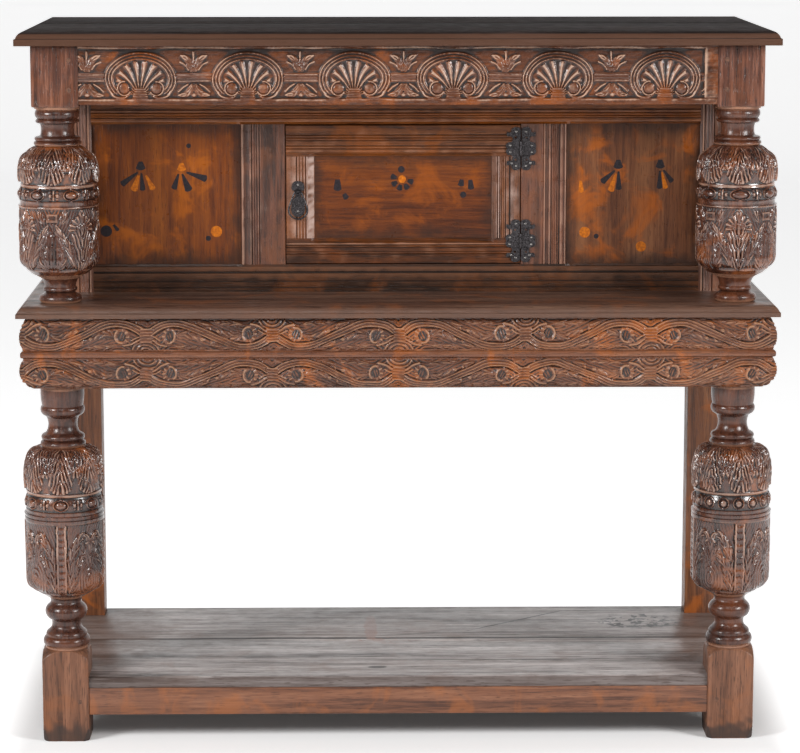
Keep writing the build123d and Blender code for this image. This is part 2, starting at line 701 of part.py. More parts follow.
def handle_drop():
    """Pear-shaped loop of wire: a straight top, two corners, two straight sides and a round belly."""
    corner = (loop_bar / 2, -loop_corner)
    belly = (0, loop_belly - loop_drop)
    reach = hypot(corner[0] - belly[0], corner[1] - belly[1])
    lean = atan2(belly[1] - corner[1], belly[0] - corner[0]) + acos((loop_corner - loop_belly) / reach)
    side_out = (cos(lean), sin(lean))
    half_turn = lean / 2 + radians(45)
    top_turn = (corner[0] + loop_corner * cos(half_turn), corner[1] + loop_corner * sin(half_turn))
    corner_end = (corner[0] + loop_corner * side_out[0], corner[1] + loop_corner * side_out[1])
    belly_start = (loop_belly * side_out[0], belly[1] + loop_belly * side_out[1])
    steps = [
        (loop_bar / 2, 0), (*top_turn, *corner_end), belly_start,
        (0, -loop_drop, -belly_start[0], belly_start[1]), (-corner_end[0], corner_end[1]),
        (-top_turn[0], top_turn[1], -loop_bar / 2, 0), (0, 0),
    ]
    place = lambda u, v: Vector(handle_x + u, handle_y, handle_z + v)
    path = Wire(trace((0, 0), steps, place))
    section = Plane(origin=place(0, 0), z_dir=(1, 0, 0)) * Circle(wire_radius)
    return sweep(section, path=path)


# ---- inlay ----
def petal(face, root, tip, root_width, tip_width):
    """Flared piece with a bowed end, let into a panel whose front lies at face."""
    along = (tip[0] - root[0], tip[1] - root[1])
    length = hypot(*along)
    ahead = (along[0] / length, along[1] / length)
    across = (-ahead[1], ahead[0])

    def at(u, v):
        x = root[0] + ahead[0] * u + across[0] * v
        return Vector(x, face, root[1] + ahead[1] * u + across[1] * v)

    bow = tip_width * petal_bow
    steps = [(length - bow, tip_width / 2), (length, 0, length - bow, -tip_width / 2),
             (0, -root_width / 2)]
    return extrude(filled((0, root_width / 2), steps, at), amount=inlay_thick, dir=(0, 1, 0))


def bud(face, centre, radius):
    """Round piece let into a panel."""
    return rod((centre[0], face, centre[1]), (0, 1, 0), inlay_thick, radius)


def flowers(items, xs):
    """Buds and petals of one panel between two sides of its opening."""
    width = xs[1] - xs[0]

    def place(across, up):
        return (xs[0] + across * width, opening_z + up * opening_height)

    pieces = []
    for item in items:
        if len(item) == 3:
            pieces.append(bud(panel_y, place(*item[:2]), item[2] * opening_height))
        else:
            widths = [share * opening_height for share in item[4:]]
            pieces.append(petal(panel_y, place(*item[:2]), place(*item[2:4]), *widths))
    return pieces


def wreath():
    """Petals round the middle bud of the door panel."""
    x = door_opening_x + wreath_middle[0] * (right_muntin_x - door_opening_x)
    z = opening_z + wreath_middle[1] * opening_height
    pieces = []
    for angle in wreath_petals:
        reach = [share * opening_height for share in (wreath_roots[0], wreath_tips[0])]
        root, tip = [(x + r * cos(radians(angle)), z + r * sin(radians(angle))) for r in reach]
        widths = [share * opening_height for share in (wreath_roots[1], wreath_tips[1])]
        pieces.append(petal(panel_y, root, tip, *widths))
    return pieces


def fixed_inlay():
    left = (left_end_stile_inner, left_muntin_x)
    right = (right_panel_x, right_end_stile_inner)
    return {"inlay_dark_fixed": flowers(left_flower_dark, left) + flowers(right_flower_dark, right),
            "inlay_light_fixed": flowers(left_flower_light, left) + flowers(right_flower_light, right)}


def door_inlay():
    door = (door_opening_x, right_muntin_x)
    return {"inlay_dark_door": wreath() + flowers(door_flower_dark, door),
            "inlay_light_door": flowers([wreath_middle], door)}


# ---- assembly ----
def columns_and_posts():
    rails = [*front_rails.values(), *back_rails.values(), *side_rails.values(), *right_pegs]
    let_in = [*rails, end_sill, end_panel, *back_boards()]
    pieces = {
        "lower_column": bored(lower_column(), [*rails, column_tenon()]),
        "upper_column": bored(upper_column(), rails),
        "rear_post": bored(rear_post(), let_in),
    }
    return {f"{name}_{side}": shape
            for name, piece in pieces.items() for side, shape in both_sides(piece).items()}


def rails_all():
    grooves = [end_panel, mirror(end_panel, about=Plane.YZ), *back_boards()]
    pieces = {name: bored(rail, [*all_pegs, *grooves])
              for name, rail in {**front_rails, **back_rails}.items()}
    for name, rail in side_rails.items():
        for side, shape in both_sides(bored(rail, [*right_pegs, end_panel])).items():
            pieces[f"{name}_{side}"] = shape
    return pieces


def boards_all():
    tenons = list(both_sides(column_tenon()).values())
    posts = list(both_sides(rear_post()).values())
    feet = list(both_sides(box((inner_x, outer_x), (face_y, block_back_y), (0, foot_height))).values())
    pieces = {f"top_board_{name}": board for name, board in top_boards().items()}
    for name, board in middle_boards([*tenons, *posts, *back_boards()]).items():
        pieces[f"middle_board_{name}"] = board
    for name, board in pot_boards([*posts, *feet]).items():
        pieces[f"pot_board_{name}"] = board
    return pieces


def friezes_all():
    levels = {"lower": (lower_section, middle_rail_z),
              "upper": (upper_section, middle_rail_z + cushion_height + fillet_height)}
    return {f"frieze_{level}_{place}": shape
            for level, (section, z) in levels.items() for place, shape in frieze(section, z).items()}


def cupboard_all():
    panels = list(fixed_panels.values())
    inlay = fixed_inlay()
    frame_nails = leaf_nail_set(1)
    end_pieces = [cupboard_sill, cupboard_head, *panels, *both_sides(end_sill).values(),
                  *both_sides(end_panel).values()]
    pieces = {
        "cupboard_rail_bottom": bored(cupboard_sill, [*muntins.values(), *panels]),
        "cupboard_rail_top": bored(cupboard_head, [*muntins.values(), *panels]),
        "end_stile_left": bored(end_stile(left_end_stile_inner, -1), end_pieces),
        "end_stile_right": bored(end_stile(right_end_stile_inner, 1), end_pieces),
        "muntin_left": bored(muntins["left"], panels),
        "muntin_right": bored(muntins["right"], [*panels, *frame_nails]),
        "back_boards": Compound(back_boards()),
        "end_sills": Compound(list(both_sides(end_sill - end_panel).values())),
        "end_panels": Compound(list(both_sides(end_panel).values())),
    }
    for side, panel in fixed_panels.items():
        pieces[f"fixed_panel_{side}"] = bored(panel, [cut for group in inlay.values() for cut in group])
    for name, group in inlay.items():
        pieces[name] = Compound(group)
    return pieces


def door_all():
    pieces = door_parts()
    inlay = door_inlay()
    nails = leaf_nail_set(-1)
    staple = handle_staple()
    plate_nails = [nail(handle_x, handle_z + rise, handle_plate_thick) for rise in plate_nail_rises]
    inlay_pieces = [cut for group in inlay.values() for cut in group]
    pieces["door_panel"] = bored(pieces["door_panel"], inlay_pieces)
    wood = [name for name in pieces if name.startswith(("door_stile", "door_rail"))]
    for name in wood:
        pieces[name] = bored(pieces[name], [*nails, staple, *plate_nails])
    for name, group in inlay.items():
        pieces[name] = Compound(group)
    pieces["handle_plate"] = bored(handle_plate(), [staple, *plate_nails])
    pieces["handle_staple"] = staple
    pieces["handle_drop"] = handle_drop()
    pieces["door_stop"] = door_stop()
    return pieces, nails + plate_nails


def hinges_all(door_nails):
    frame_leaves = [bored(hinge_leaf(1, z, False), leaf_nail_set(1)) for z in hinge_heights]
    door_leaves = [bored(hinge_leaf(-1, z, True), door_nails) for z in hinge_heights]
    return {
        "hinge_leaves_frame": Compound(frame_leaves),
        "hinge_leaves_door": Compound(door_leaves),
        "hinge_pins": Compound([hinge_pin(z) for z in hinge_heights]),
        "nails_frame": Compound(leaf_nail_set(1)),
        "nails_door": Compound(door_nails),
    }


door_pieces, door_nails = door_all()
parts = {
    **columns_and_posts(),
    **rails_all(),
    **boards_all(),
    **friezes_all(),
    **cupboard_all(),
    **door_pieces,
    **hinges_all(door_nails),
    "pegs": Compound(all_pegs),
}

os.makedirs("parts", exist_ok=True)
for name, shape in parts.items():
    export_step(shape, f"parts/{name}.step")
print(len(parts), "nodes")
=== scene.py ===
import bpy
import bmesh
import json
import math
import numpy as np
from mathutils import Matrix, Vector


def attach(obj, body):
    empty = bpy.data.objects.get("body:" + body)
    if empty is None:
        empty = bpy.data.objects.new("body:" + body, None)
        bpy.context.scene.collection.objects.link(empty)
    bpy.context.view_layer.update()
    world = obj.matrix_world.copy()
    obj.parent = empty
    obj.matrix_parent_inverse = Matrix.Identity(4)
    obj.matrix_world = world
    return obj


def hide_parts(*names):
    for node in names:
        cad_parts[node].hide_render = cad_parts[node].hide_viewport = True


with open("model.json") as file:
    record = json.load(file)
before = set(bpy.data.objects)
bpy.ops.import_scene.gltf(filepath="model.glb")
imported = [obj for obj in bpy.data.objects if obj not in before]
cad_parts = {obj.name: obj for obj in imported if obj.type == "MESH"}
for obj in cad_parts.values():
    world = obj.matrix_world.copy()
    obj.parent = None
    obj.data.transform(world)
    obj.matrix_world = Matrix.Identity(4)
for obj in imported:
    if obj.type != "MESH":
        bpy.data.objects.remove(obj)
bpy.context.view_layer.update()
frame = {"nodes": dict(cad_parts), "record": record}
nodes = frame["nodes"]
record = frame["record"]
scene = bpy.context.scene
bodyOf = {node: body for body, names in record["behaviour"]["bodies"].items() for node in names}

# places shared by several pieces, in millimetres
cabinet = {
    "faceY": -232.0,          # front faces of the blocks and frieze rails
    "outerX": 587.0,
    "innerX": 511.0,
    "postBackY": 250.0,
    "columnX": 549.0,
    "columnY": -194.0,
    "ledgeZ": 729.0,
    "topRailZ": (1051.0, 1146.0),
    "middleRailZ": 592.0,
    "frontY": -82.0,          # face of the recessed cupboard
    "openingZ": (774.8, 1007.6),
}
# wear runs from 0 in hollows, grime with painted shade, to 1 on ridges, rubbed wood with a painted highlight
wearAndLightLevels = {"plain": 0.52, "hidden": 0.35, "perMillimetre": 0.42, "turned": 0.50, "shoulder": 0.30}


def say(text):
    print("[cupboard]", text)


# numbers on grids
def smoothStep(low, high, value):
    t = np.clip((value - low) / (high - low), 0, 1)
    return t * t * (3 - 2 * t)


def waves(x, pitch, swing=-0.5):
    # 0 on each line and 1 between them, or the other way round with a swing of 0.5
    return 0.5 + swing * np.cos(math.tau * x / pitch)


def notch(x, half):
    # 1 where x is 0, and 0 from the half width on
    return np.clip(1 - np.abs(x) / half, 0, 1)


def folded(turn, step):
    # distance to the nearest of evenly repeated lines
    return np.abs((turn + step / 2) % step - step / 2)


def ripple(u, v, size, seed):
    # soft unevenness of hand work, about -1 to 1
    rng = np.random.default_rng(seed)
    total = np.zeros(np.broadcast(u, v).shape)
    for k in range(7):
        angle, phase = rng.uniform(0, math.tau, 2)
        wave = math.tau / (size * rng.uniform(0.6, 1.6))
        total = total + np.sin(wave * (u * math.cos(angle) + v * math.sin(angle)) + phase)
    return total / 4


def blurred(values, reach, wrap=False):
    for axis in (0, 1):
        for turn in range(2):
            total = np.zeros_like(values)
            for shift in range(-reach, reach + 1):
                if wrap and axis == 1:
                    total += np.roll(values, shift, axis)
                else:
                    index = np.clip(np.arange(values.shape[axis]) + shift, 0, values.shape[axis] - 1)
                    total += np.take(values, index, axis)
            values = total / (2 * reach + 1)
    return values


def flowing(points, steps=7):
    # smooth line through a few points
    p = np.array(points, float)
    p = np.vstack([2 * p[0] - p[1], p, 2 * p[-1] - p[-2]])
    line = []
    for a, b, c, d in zip(p, p[1:], p[2:], p[3:]):
        for t in np.linspace(0, 1, steps, endpoint=False):
            line.append(0.5 * (2 * b + (c - a) * t + (2 * a - 5 * b + 4 * c - d) * t * t
                               + (3 * b - a - 3 * c + d) * t ** 3))
    return [tuple(q) for q in line + [p[-2]]]


def nearLine(u, v, line, reach):
    # distance to a line, share of its length there, and the length; far points are skipped
    pts = np.array(line)
    low, high = pts.min(0) - reach, pts.max(0) + reach
    near = (u > low[0]) & (u < high[0]) & (v > low[1]) & (v < high[1])
    distance, along = np.full(u.shape, 999.0), np.zeros(u.shape)
    uu, vv = u[near], v[near]
    best, where = np.full(uu.shape, 999.0), np.zeros(uu.shape)
    done = 0.0
    for (x0, y0), (x1, y1) in zip(line, line[1:]):
        dx, dy = x1 - x0, y1 - y0
        length = math.hypot(dx, dy) + 1e-9
        t = np.clip(((uu - x0) * dx + (vv - y0) * dy) / length ** 2, 0, 1)
        d = np.hypot(uu - x0 - t * dx, vv - y0 - t * dy)
        where = np.where(d < best, done + t * length, where)
        best = np.minimum(d, best)
        done += length
    distance[near], along[near] = best, where / done
    return distance, along, done


# strokes of the carver, heights in millimetres, 0 at the face and negative below it
def ridge(h, u, v, line, half, top, fall=2.2):
    d = nearLine(u, v, line, half * 1.6)[0]
    return np.where(d < half * 1.3, np.maximum(h, top - fall * (d / half) ** 2), h)


def leaf(h, u, v, line, width, top, pitch, veins=0.8, base=-2.8, lobes=0, slant=1.0):
    # pointed leaf along a line: crowned, veined, with a cut midrib and a notched edge
    d, t, length = nearLine(u, v, line, width * 1.3)
    edge = width * np.sin(np.pi * np.clip(t, 0.001, 0.999) ** 0.75) ** 0.65
    if lobes:
        edge = edge * (0.88 + 0.16 * np.abs(np.sin(np.pi * lobes * t)))
    inside = smoothStep(0.5, -0.5, d - edge)
    share = np.clip(d / np.maximum(edge, 0.5), 0, 1)
    bend = 0.5 * np.sin(0.31 * t * length)
    vein = np.abs(np.sin(np.pi * (0.3 * t * length - slant * d + bend) / pitch))
    surface = top - 1.1 * share ** 2 - veins * (1 - vein) ** 1.3 - 0.9 * notch(d, 0.9)
    return np.where(inside > 0, np.maximum(h, base + (surface - base) * inside), h)


def dome(h, u, v, centre, rx, rz, top, base):
    q = ((u - centre[0]) / rx) ** 2 + ((v - centre[1]) / rz) ** 2
    return np.where(q < 1, np.maximum(h, base + (top - base) * np.sqrt(np.clip(1 - q, 0, 1))), h)


def carve(h, u, v, strokes):
    # each row is a stroke, the few points it flows through and its numbers
    for stroke, points, *numbers in strokes:
        h = stroke(h, u, v, flowing(points), *numbers)
    return h


def wearAndLightOf(h, reach=3, wrap=False, depth=3.4):
    lift = h - blurred(h, reach, wrap)
    # deeper cuts are darker: grime with painted shade
    dirtAndShade = 0.04 * np.clip(-h / depth, 0, 1.3) + 0.09 * smoothStep(-1.9, -2.7, h)
    return np.clip(wearAndLightLevels["plain"] + wearAndLightLevels["perMillimetre"] * lift - dirtAndShade, 0, 1)


# making meshes
def vertsIn(made):
    return [g for g in made if isinstance(g, bmesh.types.BMVert)]


def pointsOf(bm):
    return np.array([v.co for v in bm.verts])


def placeAt(bm, points):
    # points in millimetres
    for vert, point in zip(bm.verts, points):
        vert.co = point / 1000
    bmesh.ops.recalc_face_normals(bm, faces=bm.faces)


def camelName(node):
    first, *others = node.split("_")
    return first + "".join(word.capitalize() for word in others)


def keep(name, bm, node, material, wear=None):
    mesh = bpy.data.meshes.new(name)
    bm.to_mesh(mesh)
    bm.free()
    piece = bpy.data.objects.new(name, mesh)
    scene.collection.objects.link(piece)
    mesh.shade_smooth()
    mesh.set_sharp_from_angle(angle=math.radians(38))
    if wear is not None:
        values = wear.astype(np.float32)
        mesh.attributes.new("wear", "FLOAT", "POINT").data.foreach_set("value", values)
    mesh.materials.append(material)
    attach(piece, bodyOf[node])
    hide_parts(node)


def carvedSheet(front, back, wear):
    # closed sheet between two (rows + 1, columns + 1, 3) arrays in millimetres, with its wear and painted light
    rows, columns = wear.shape[0] - 1, wear.shape[1] - 1
    bm = bmesh.new()
    bmesh.ops.create_grid(bm, x_segments=columns, y_segments=rows, size=0.5)
    rim = bmesh.ops.extrude_edge_only(bm, edges=[e for e in bm.edges if e.is_boundary])["geom"]
    bmesh.ops.translate(bm, verts=vertsIn(rim), vec=(0, 0, 1))
    rim = [g for g in rim if isinstance(g, bmesh.types.BMEdge) and g.is_boundary]
    bmesh.ops.contextual_create(bm, geom=rim)
    co = pointsOf(bm)
    i = np.rint((co[:, 0] + 0.5) * columns).astype(int)
    j = np.rint((co[:, 1] + 0.5) * rows).astype(int)
    behind = co[:, 2] > 0.5
    placeAt(bm, np.where(behind[:, None], back[j, i], front[j, i]))
    return bm, np.where(behind, wearAndLightLevels["hidden"], wear[j, i])


def wornCopy(node, material):
    # the CAD piece with its arrises rubbed round
    rub = {"width": 0.0011, "shortest": 0.012, "sharp": math.radians(40), "flat": math.radians(1.5)}
    bm = bmesh.new()
    bm.from_mesh(nodes[node].data)
    bmesh.ops.remove_doubles(bm, verts=bm.verts, dist=0.00003)
    bmesh.ops.dissolve_limit(bm, angle_limit=rub["flat"], verts=bm.verts, edges=bm.edges)
    edges = [e for e in bm.edges if len(e.link_faces) == 2 and e.calc_length() > rub["shortest"]
             and e.calc_face_angle(0) > rub["sharp"]]
    bmesh.ops.bevel(bm, geom=edges, offset=rub["width"], offset_type="OFFSET", segments=2,
                    affect="EDGES", profile=0.5, material=-1, clamp_overlap=True)
    bmesh.ops.recalc_face_normals(bm, faces=bm.faces)
    keep(camelName(node), bm, node, material)


def dress(node, material):
    # a CAD piece that shows as it is
    nodes[node].data.materials.clear()
    nodes[node].data.materials.append(material)


# materials
def rgb(red, green, blue):
    # screen colour out of 255 to shader colour
    values = [c / 255 for c in (red, green, blue)]
    return (*(c / 12.92 if c <= 0.04045 else ((c + 0.055) / 1.055) ** 2.4 for c in values), 1.0)


white = (1, 1, 1, 1)


class Wires:
    # makes and joins the nodes of one shader tree
    def __init__(self, tree):
        self.tree = tree

    def fill(self, node, sockets):
        for key, value in sockets.items():
            if isinstance(value, bpy.types.NodeSocket):
                self.tree.links.new(value, node.inputs[key])
            else:
                node.inputs[key].default_value = value

    def add(self, kind, sockets=None, **settings):
        node = self.tree.nodes.new("ShaderNode" + kind)
        for key, value in settings.items():
            setattr(node, key, value)
        self.fill(node, sockets or {})
        return node

    def math(self, operation, first, second=0.0):
        return self.add("Math", {0: first, 1: second}, operation=operation).outputs[0]

    def plus(self, first, second):
        return self.math("ADD", first, second)

    def minus(self, first, second):
        return self.math("SUBTRACT", first, second)

    def times(self, first, second):
        return self.math("MULTIPLY", first, second)

    def vector(self, operation, *values):
        return self.add("VectorMath", dict(enumerate(values)), operation=operation).outputs

    def parts(self, vector):
        return self.add("SeparateXYZ", {0: vector}).outputs

    def mix(self, factor, first, second):
        return self.add("Mix", {0: factor, 6: first, 7: second}, data_type="RGBA").outputs[2]

    def either(self, factor, first, second):
        return self.add("MixShader", {0: factor, 1: first, 2: second}).outputs[0]

    def noise(self, vector, scale, detail=3.0, rough=0.55, distortion=0.0):
        return self.add("TexNoise", {"Vector": vector, "Scale": scale, "Detail": detail,
                                     "Roughness": rough, "Distortion": distortion}).outputs["Fac"]

    def span(self, value, low, high, toLow=0.0, toHigh=1.0):
        return self.add("MapRange", {"Value": value, "From Min": low, "From Max": high, "To Min": toLow,
                                     "To Max": toHigh}, interpolation_type="SMOOTHSTEP").outputs["Result"]


def newGroup(name, inputs, outputs):
    # inputs and outputs give each socket's kind
    group = bpy.data.node_groups.new(name, "ShaderNodeTree")
    for way, sockets in (("INPUT", inputs), ("OUTPUT", outputs)):
        for label, kind in sockets.items():
            group.interface.new_socket(name=label, in_out=way, socket_type="NodeSocket" + kind)
    return group, Wires(group), group.nodes.new("NodeGroupInput").outputs, group.nodes.new("NodeGroupOutput")


def oakGrainGroup():
    # grain runs along the group's X: fibres, open pores, growth rings and ray flecks
    inputs = {"Vector": "Vector", "Dark": "Color", "Middle": "Color", "Light": "Color", "Fleck": "Float"}
    group, w, start, end = newGroup("oakGrain", inputs, {"Color": "Color", "Height": "Float"})

    def stretched(share):
        return w.add("Mapping", {"Vector": start["Vector"], "Scale": (share, 1, 1)}).outputs[0]

    along = stretched(0.05)
    bend = w.noise(along, 14.0, 2.0)
    fibre = w.noise(along, 260.0, 4.0, 0.65, 0.4)
    streak = w.noise(along, 46.0, 3.0, 0.55, 1.2)
    broad = w.noise(along, 9.0, 2.0, 0.5, 2.0)
    pores = w.span(w.noise(stretched(0.09), 480.0, 2.0), 0.56, 0.68)
    tone = w.plus(w.plus(w.times(streak, 0.45), w.times(broad, 0.30)), w.times(fibre, 0.42))
    color = w.mix(w.span(tone, 0.45, 0.60), start["Dark"], start["Middle"])
    color = w.mix(w.span(tone, 0.57, 0.74), color, start["Light"])
    fleck = w.span(w.noise(stretched(0.5), 95.0, 1.0, 0.4, 1.5), 0.66, 0.74)
    color = w.mix(w.times(fleck, start["Fleck"]), color, start["Light"])
    color = w.mix(w.times(pores, 0.65), color, start["Dark"])
    height = w.plus(w.minus(w.times(fibre, 0.8), pores), w.times(bend, 0.3))
    w.fill(end, {"Color": color, "Height": height})
    return group


def wearAndLightColourGroup():
    # old wax: warm patches, grime with painted shade in hollows, rubbed wood with a painted highlight on ridges,
    # with the gloss that goes with them
    inputs = {"Color": "Color", "Vector": "Vector", "Wear": "Float", "Warm": "Color", "WarmShare": "Float",
              "Grime": "Color", "Rubbed": "Color", "RubbedAndHighlightShare": "Float", "Gloss": "Float"}
    group, w, start, end = newGroup("handWear", inputs, {"Color": "Color", "Roughness": "Float"})
    patch = w.span(w.noise(start["Vector"], 16.0, 4.0, 0.6, 0.6), 0.50, 0.68)
    cloud = w.noise(start["Vector"], 38.0, 3.0, 0.6)
    color = w.mix(w.times(patch, start["WarmShare"]), start["Color"], start["Warm"])
    # dark in hollows: grime with painted shade
    grime = w.span(w.plus(start["Wear"], w.times(cloud, 0.16)), 0.46, 0.12)
    color = w.mix(grime, color, start["Grime"])
    # pale on ridges: rubbed wood with a painted highlight
    rubbed = w.span(w.plus(start["Wear"], w.times(cloud, 0.30)), 0.80, 1.10)
    color = w.mix(w.times(rubbed, start["RubbedAndHighlightShare"]), color, start["Rubbed"])
    rough = w.plus(start["Gloss"], w.times(grime, 0.15))
    w.fill(end, {"Color": color, "Roughness": w.plus(rough, w.span(cloud, 0.3, 0.7, -0.07, 0.07))})
    return group


def panelShadeGroup():
    # painted shade along the four sides of a panel, wider in its lower corners
    inputs = {"Vector": "Vector", "Centre": "Vector", "Half": "Vector"}
    group, w, start, end = newGroup("panelEdge", inputs, {"Mask": "Float"})
    away = w.vector("ABSOLUTE", w.vector("SUBTRACT", start["Vector"], start["Centre"])[0])[0]
    left = w.parts(w.vector("SUBTRACT", start["Half"], away)[0])
    cloud = w.noise(start["Vector"], 30.0, 4.0, 0.6)
    nearest = w.plus(w.math("MINIMUM", left["X"], left["Z"]), w.times(w.minus(cloud, 0.5), 0.05))
    w.fill(end, {"Mask": w.span(nearest, 0.030, -0.004, 0.0, 0.75)})
    return group


oakGrain = oakGrainGroup()
handWear = wearAndLightColourGroup()
panelEdge = panelShadeGroup()
turnFor = {"X": (0, 0, 0), "Y": (0, 0, math.pi / 2), "Z": (0, math.pi / 2, 0)}   # brings the grain onto X
oakLook = {
    "axis": "X", "seed": 0.0, "tones": ((62, 38, 28), (112, 74, 54), (146, 102, 80)),
    "warm": (146, 82, 40), "warmShare": 0.35, "rubbed": (172, 126, 100), "rubbedAndHighlightShare": 0.6,
    "grime": (38, 24, 18), "gloss": 0.42, "specular": 0.5, "coat": 0.0, "coatGloss": 0.2, "bump": 0.4,
    "fleck": 0.12,
    "edge": None,     # middle and half size of a panel, for the painted shade along its sides
    "side": None,     # colour of the upright faces of a board
    "seam": None,     # y of the dark joint between two boards
    "marks": (),      # stains and cracks: middle, half size, turn, colour, share, scale of the breaks in it
}
bumpDistance = 0.0006


def newMaterial(name):
    material = bpy.data.materials.new(name)
    material.use_nodes = True
    w = Wires(material.node_tree)
    return material, w, w.add("TexCoord").outputs["Object"]


def oak(name, settings, hasWearAndLight=False):
    look = {**oakLook, **settings}
    dark, middle, light = (rgb(*tone) for tone in look["tones"])
    grimeAndShadeColor = rgb(*look["grime"])
    material, w, coords = newMaterial(name)
    seed = look["seed"]
    along = w.add("Mapping", {"Vector": coords, "Rotation": turnFor[look["axis"]],
                              "Location": (seed * 3.17, seed * 1.31, seed * 2.23)}).outputs[0]
    grain = w.add("Group", {"Vector": along, "Dark": dark, "Middle": middle, "Light": light,
                            "Fleck": look["fleck"]}, node_tree=oakGrain)
    wear = w.add("Group", {
        "Color": grain.outputs["Color"], "Vector": along,
        "Wear": w.add("Attribute", attribute_name="wear").outputs["Fac"] if hasWearAndLight else 0.5,
        "Warm": rgb(*look["warm"]), "WarmShare": look["warmShare"], "Grime": grimeAndShadeColor,
        "Rubbed": rgb(*look["rubbed"]), "RubbedAndHighlightShare": look["rubbedAndHighlightShare"], "Gloss": look["gloss"],
    }, node_tree=handWear)
    color = wear.outputs["Color"]
    if look["edge"]:
        centre, half = look["edge"]
        # painted shade along the panel's sides
        rim = w.add("Group", {"Vector": coords, "Centre": centre, "Half": half}, node_tree=panelEdge)
        color = w.mix(rim.outputs["Mask"], color, grimeAndShadeColor)
    if look["side"]:
        upward = w.parts(w.add("NewGeometry").outputs["Normal"])["Z"]
        color = w.mix(w.span(upward, 0.93, 0.6, 0.0, 0.7), color, rgb(*look["side"]))
    if look["seam"] is not None:
        wander = w.times(w.noise(coords, 5.0, 2.0), 0.012)
        away = w.minus(w.plus(w.parts(coords)["Y"], wander), look["seam"] + 0.006)
        color = w.mix(w.span(w.math("ABSOLUTE", away), 0.0075, 0.003, 0.0, 0.9), color, grimeAndShadeColor)
    for middle, half, turn, shade, share, broken in look["marks"]:
        spot = w.add("Mapping", {"Vector": coords, "Location": (*middle, 0.0), "Rotation": (0, 0, turn),
                                 "Scale": (*half, 1000.0)}, vector_type="TEXTURE").outputs[0]
        ragged = w.plus(w.vector("LENGTH", spot)["Value"], w.times(w.noise(coords, 34.0), 0.9))
        mask = w.span(ragged, 1.5, 1.2, 0.0, share)
        if broken:
            mask = w.times(mask, w.span(w.noise(coords, broken, 2.0), 0.51, 0.55))
        color = w.mix(mask, color, rgb(*shade))
    bump = w.add("Bump", {"Strength": look["bump"], "Distance": bumpDistance,
                          "Height": grain.outputs["Height"]})
    w.fill(w.tree.nodes["Principled BSDF"], {
        "Base Color": color, "Roughness": wear.outputs["Roughness"], "Normal": bump.outputs["Normal"],
        "Coat Weight": look["coat"], "Coat Roughness": look["coatGloss"],
        "Specular IOR Level": look["specular"]})
    return material


def plainMaterial(name, first, second, scale, roughness, metallic=0.0, bump=0.2, specular=0.5):
    material, w, coords = newMaterial(name)
    cloud = w.noise(coords, scale, 4.0, 0.65)
    bumped = w.add("Bump", {"Strength": bump, "Distance": bumpDistance, "Height": cloud})
    w.fill(w.tree.nodes["Principled BSDF"], {
        "Base Color": w.mix(w.span(cloud, 0.35, 0.65), rgb(*first), rgb(*second)),
        "Roughness": w.span(cloud, 0.3, 0.7, roughness + 0.08, roughness - 0.08),
        "Metallic": metallic, "Specular IOR Level": specular, "Normal": bumped.outputs["Normal"]})
    return material


# room, camera and lights
room = {
    "floor": rgb(236, 236, 238), "sweep": 1.6, "behind": 9.0, "reach": 14.0, "wall": 6.0,
    "shadow": (0.60, 0.26, 2.6),      # half width and depth of the floor round the feet that gets no painted glow, and how much faster the glow rises sideways
    "fade": (0.0, 0.24, 0.03, 0.62),  # painted light: the floor's glow, from the feet outwards
    "around": 0.22,
}
lamps = {
    "softboxLeft": {"at": (-2.9, -2.3, 1.9), "size": 1.1, "power": 104},
    "softboxRight": {"at": (2.9, -2.3, 1.8), "size": 1.1, "power": 94},
    "frontTop": {"at": (-0.6, -4.2, 3.6), "size": 2.0, "power": 34},
}
view = {"at": (-0.074, -5.083, 1.418), "yaw": 0.903, "pitch": 9.451, "roll": 0.011, "lens": 136.37}


def makeStage():
    bm = bmesh.new()
    reach = room["reach"]
    line = [bm.verts.new((-reach, y, 0)) for y in (-reach, room["behind"])]
    bm.edges.new(line)
    turn = bmesh.ops.spin(bm, geom=[line[1]], cent=(-reach, room["behind"], room["sweep"]),
                          axis=(1, 0, 0), angle=math.pi / 2, steps=16)
    rise = bmesh.ops.extrude_vert_indiv(bm, verts=vertsIn(turn["geom_last"]))
    bmesh.ops.translate(bm, verts=rise["verts"], vec=(0, 0, room["wall"]))
    wide = bmesh.ops.extrude_edge_only(bm, edges=bm.edges[:])
    bmesh.ops.translate(bm, verts=vertsIn(wide["geom"]), vec=(2 * reach, 0, 0))
    bmesh.ops.recalc_face_normals(bm, faces=bm.faces)
    mesh = bpy.data.meshes.new("floorSweep")
    bm.to_mesh(mesh)
    bm.free()
    mesh.shade_smooth()
    floor = bpy.data.objects.new("floorSweep", mesh)
    scene.collection.objects.link(floor)
    material, w, coords = newMaterial("paleFloor")
    w.tree.nodes.remove(w.tree.nodes["Principled BSDF"])
    place = w.parts(coords)
    halfWide, halfDeep, faster = room["shadow"]
    sideways = w.times(w.minus(w.math("ABSOLUTE", place["X"]), halfWide), faster)
    ahead = w.minus(w.math("ABSOLUTE", place["Y"]), halfDeep)
    # painted light: the floor glows for the camera and in reflections, the more the further from the feet
    lift = w.span(w.math("MAXIMUM", sideways, ahead), *room["fade"])
    glow = w.add("Emission", {"Color": white, "Strength": lift}).outputs[0]
    seen = w.add("AddShader", {0: w.add("BsdfDiffuse", {"Color": white}).outputs[0], 1: glow}).outputs[0]
    path = w.add("LightPath").outputs
    direct = w.math("MAXIMUM", path["Is Glossy Ray"], path["Is Transmission Ray"])
    direct = w.math("MAXIMUM", path["Is Camera Ray"], direct)
    matt = w.add("BsdfDiffuse", {"Color": room["floor"]}).outputs[0]
    w.fill(w.tree.nodes["Material Output"], {"Surface": w.either(direct, matt, seen)})
    mesh.materials.append(material)


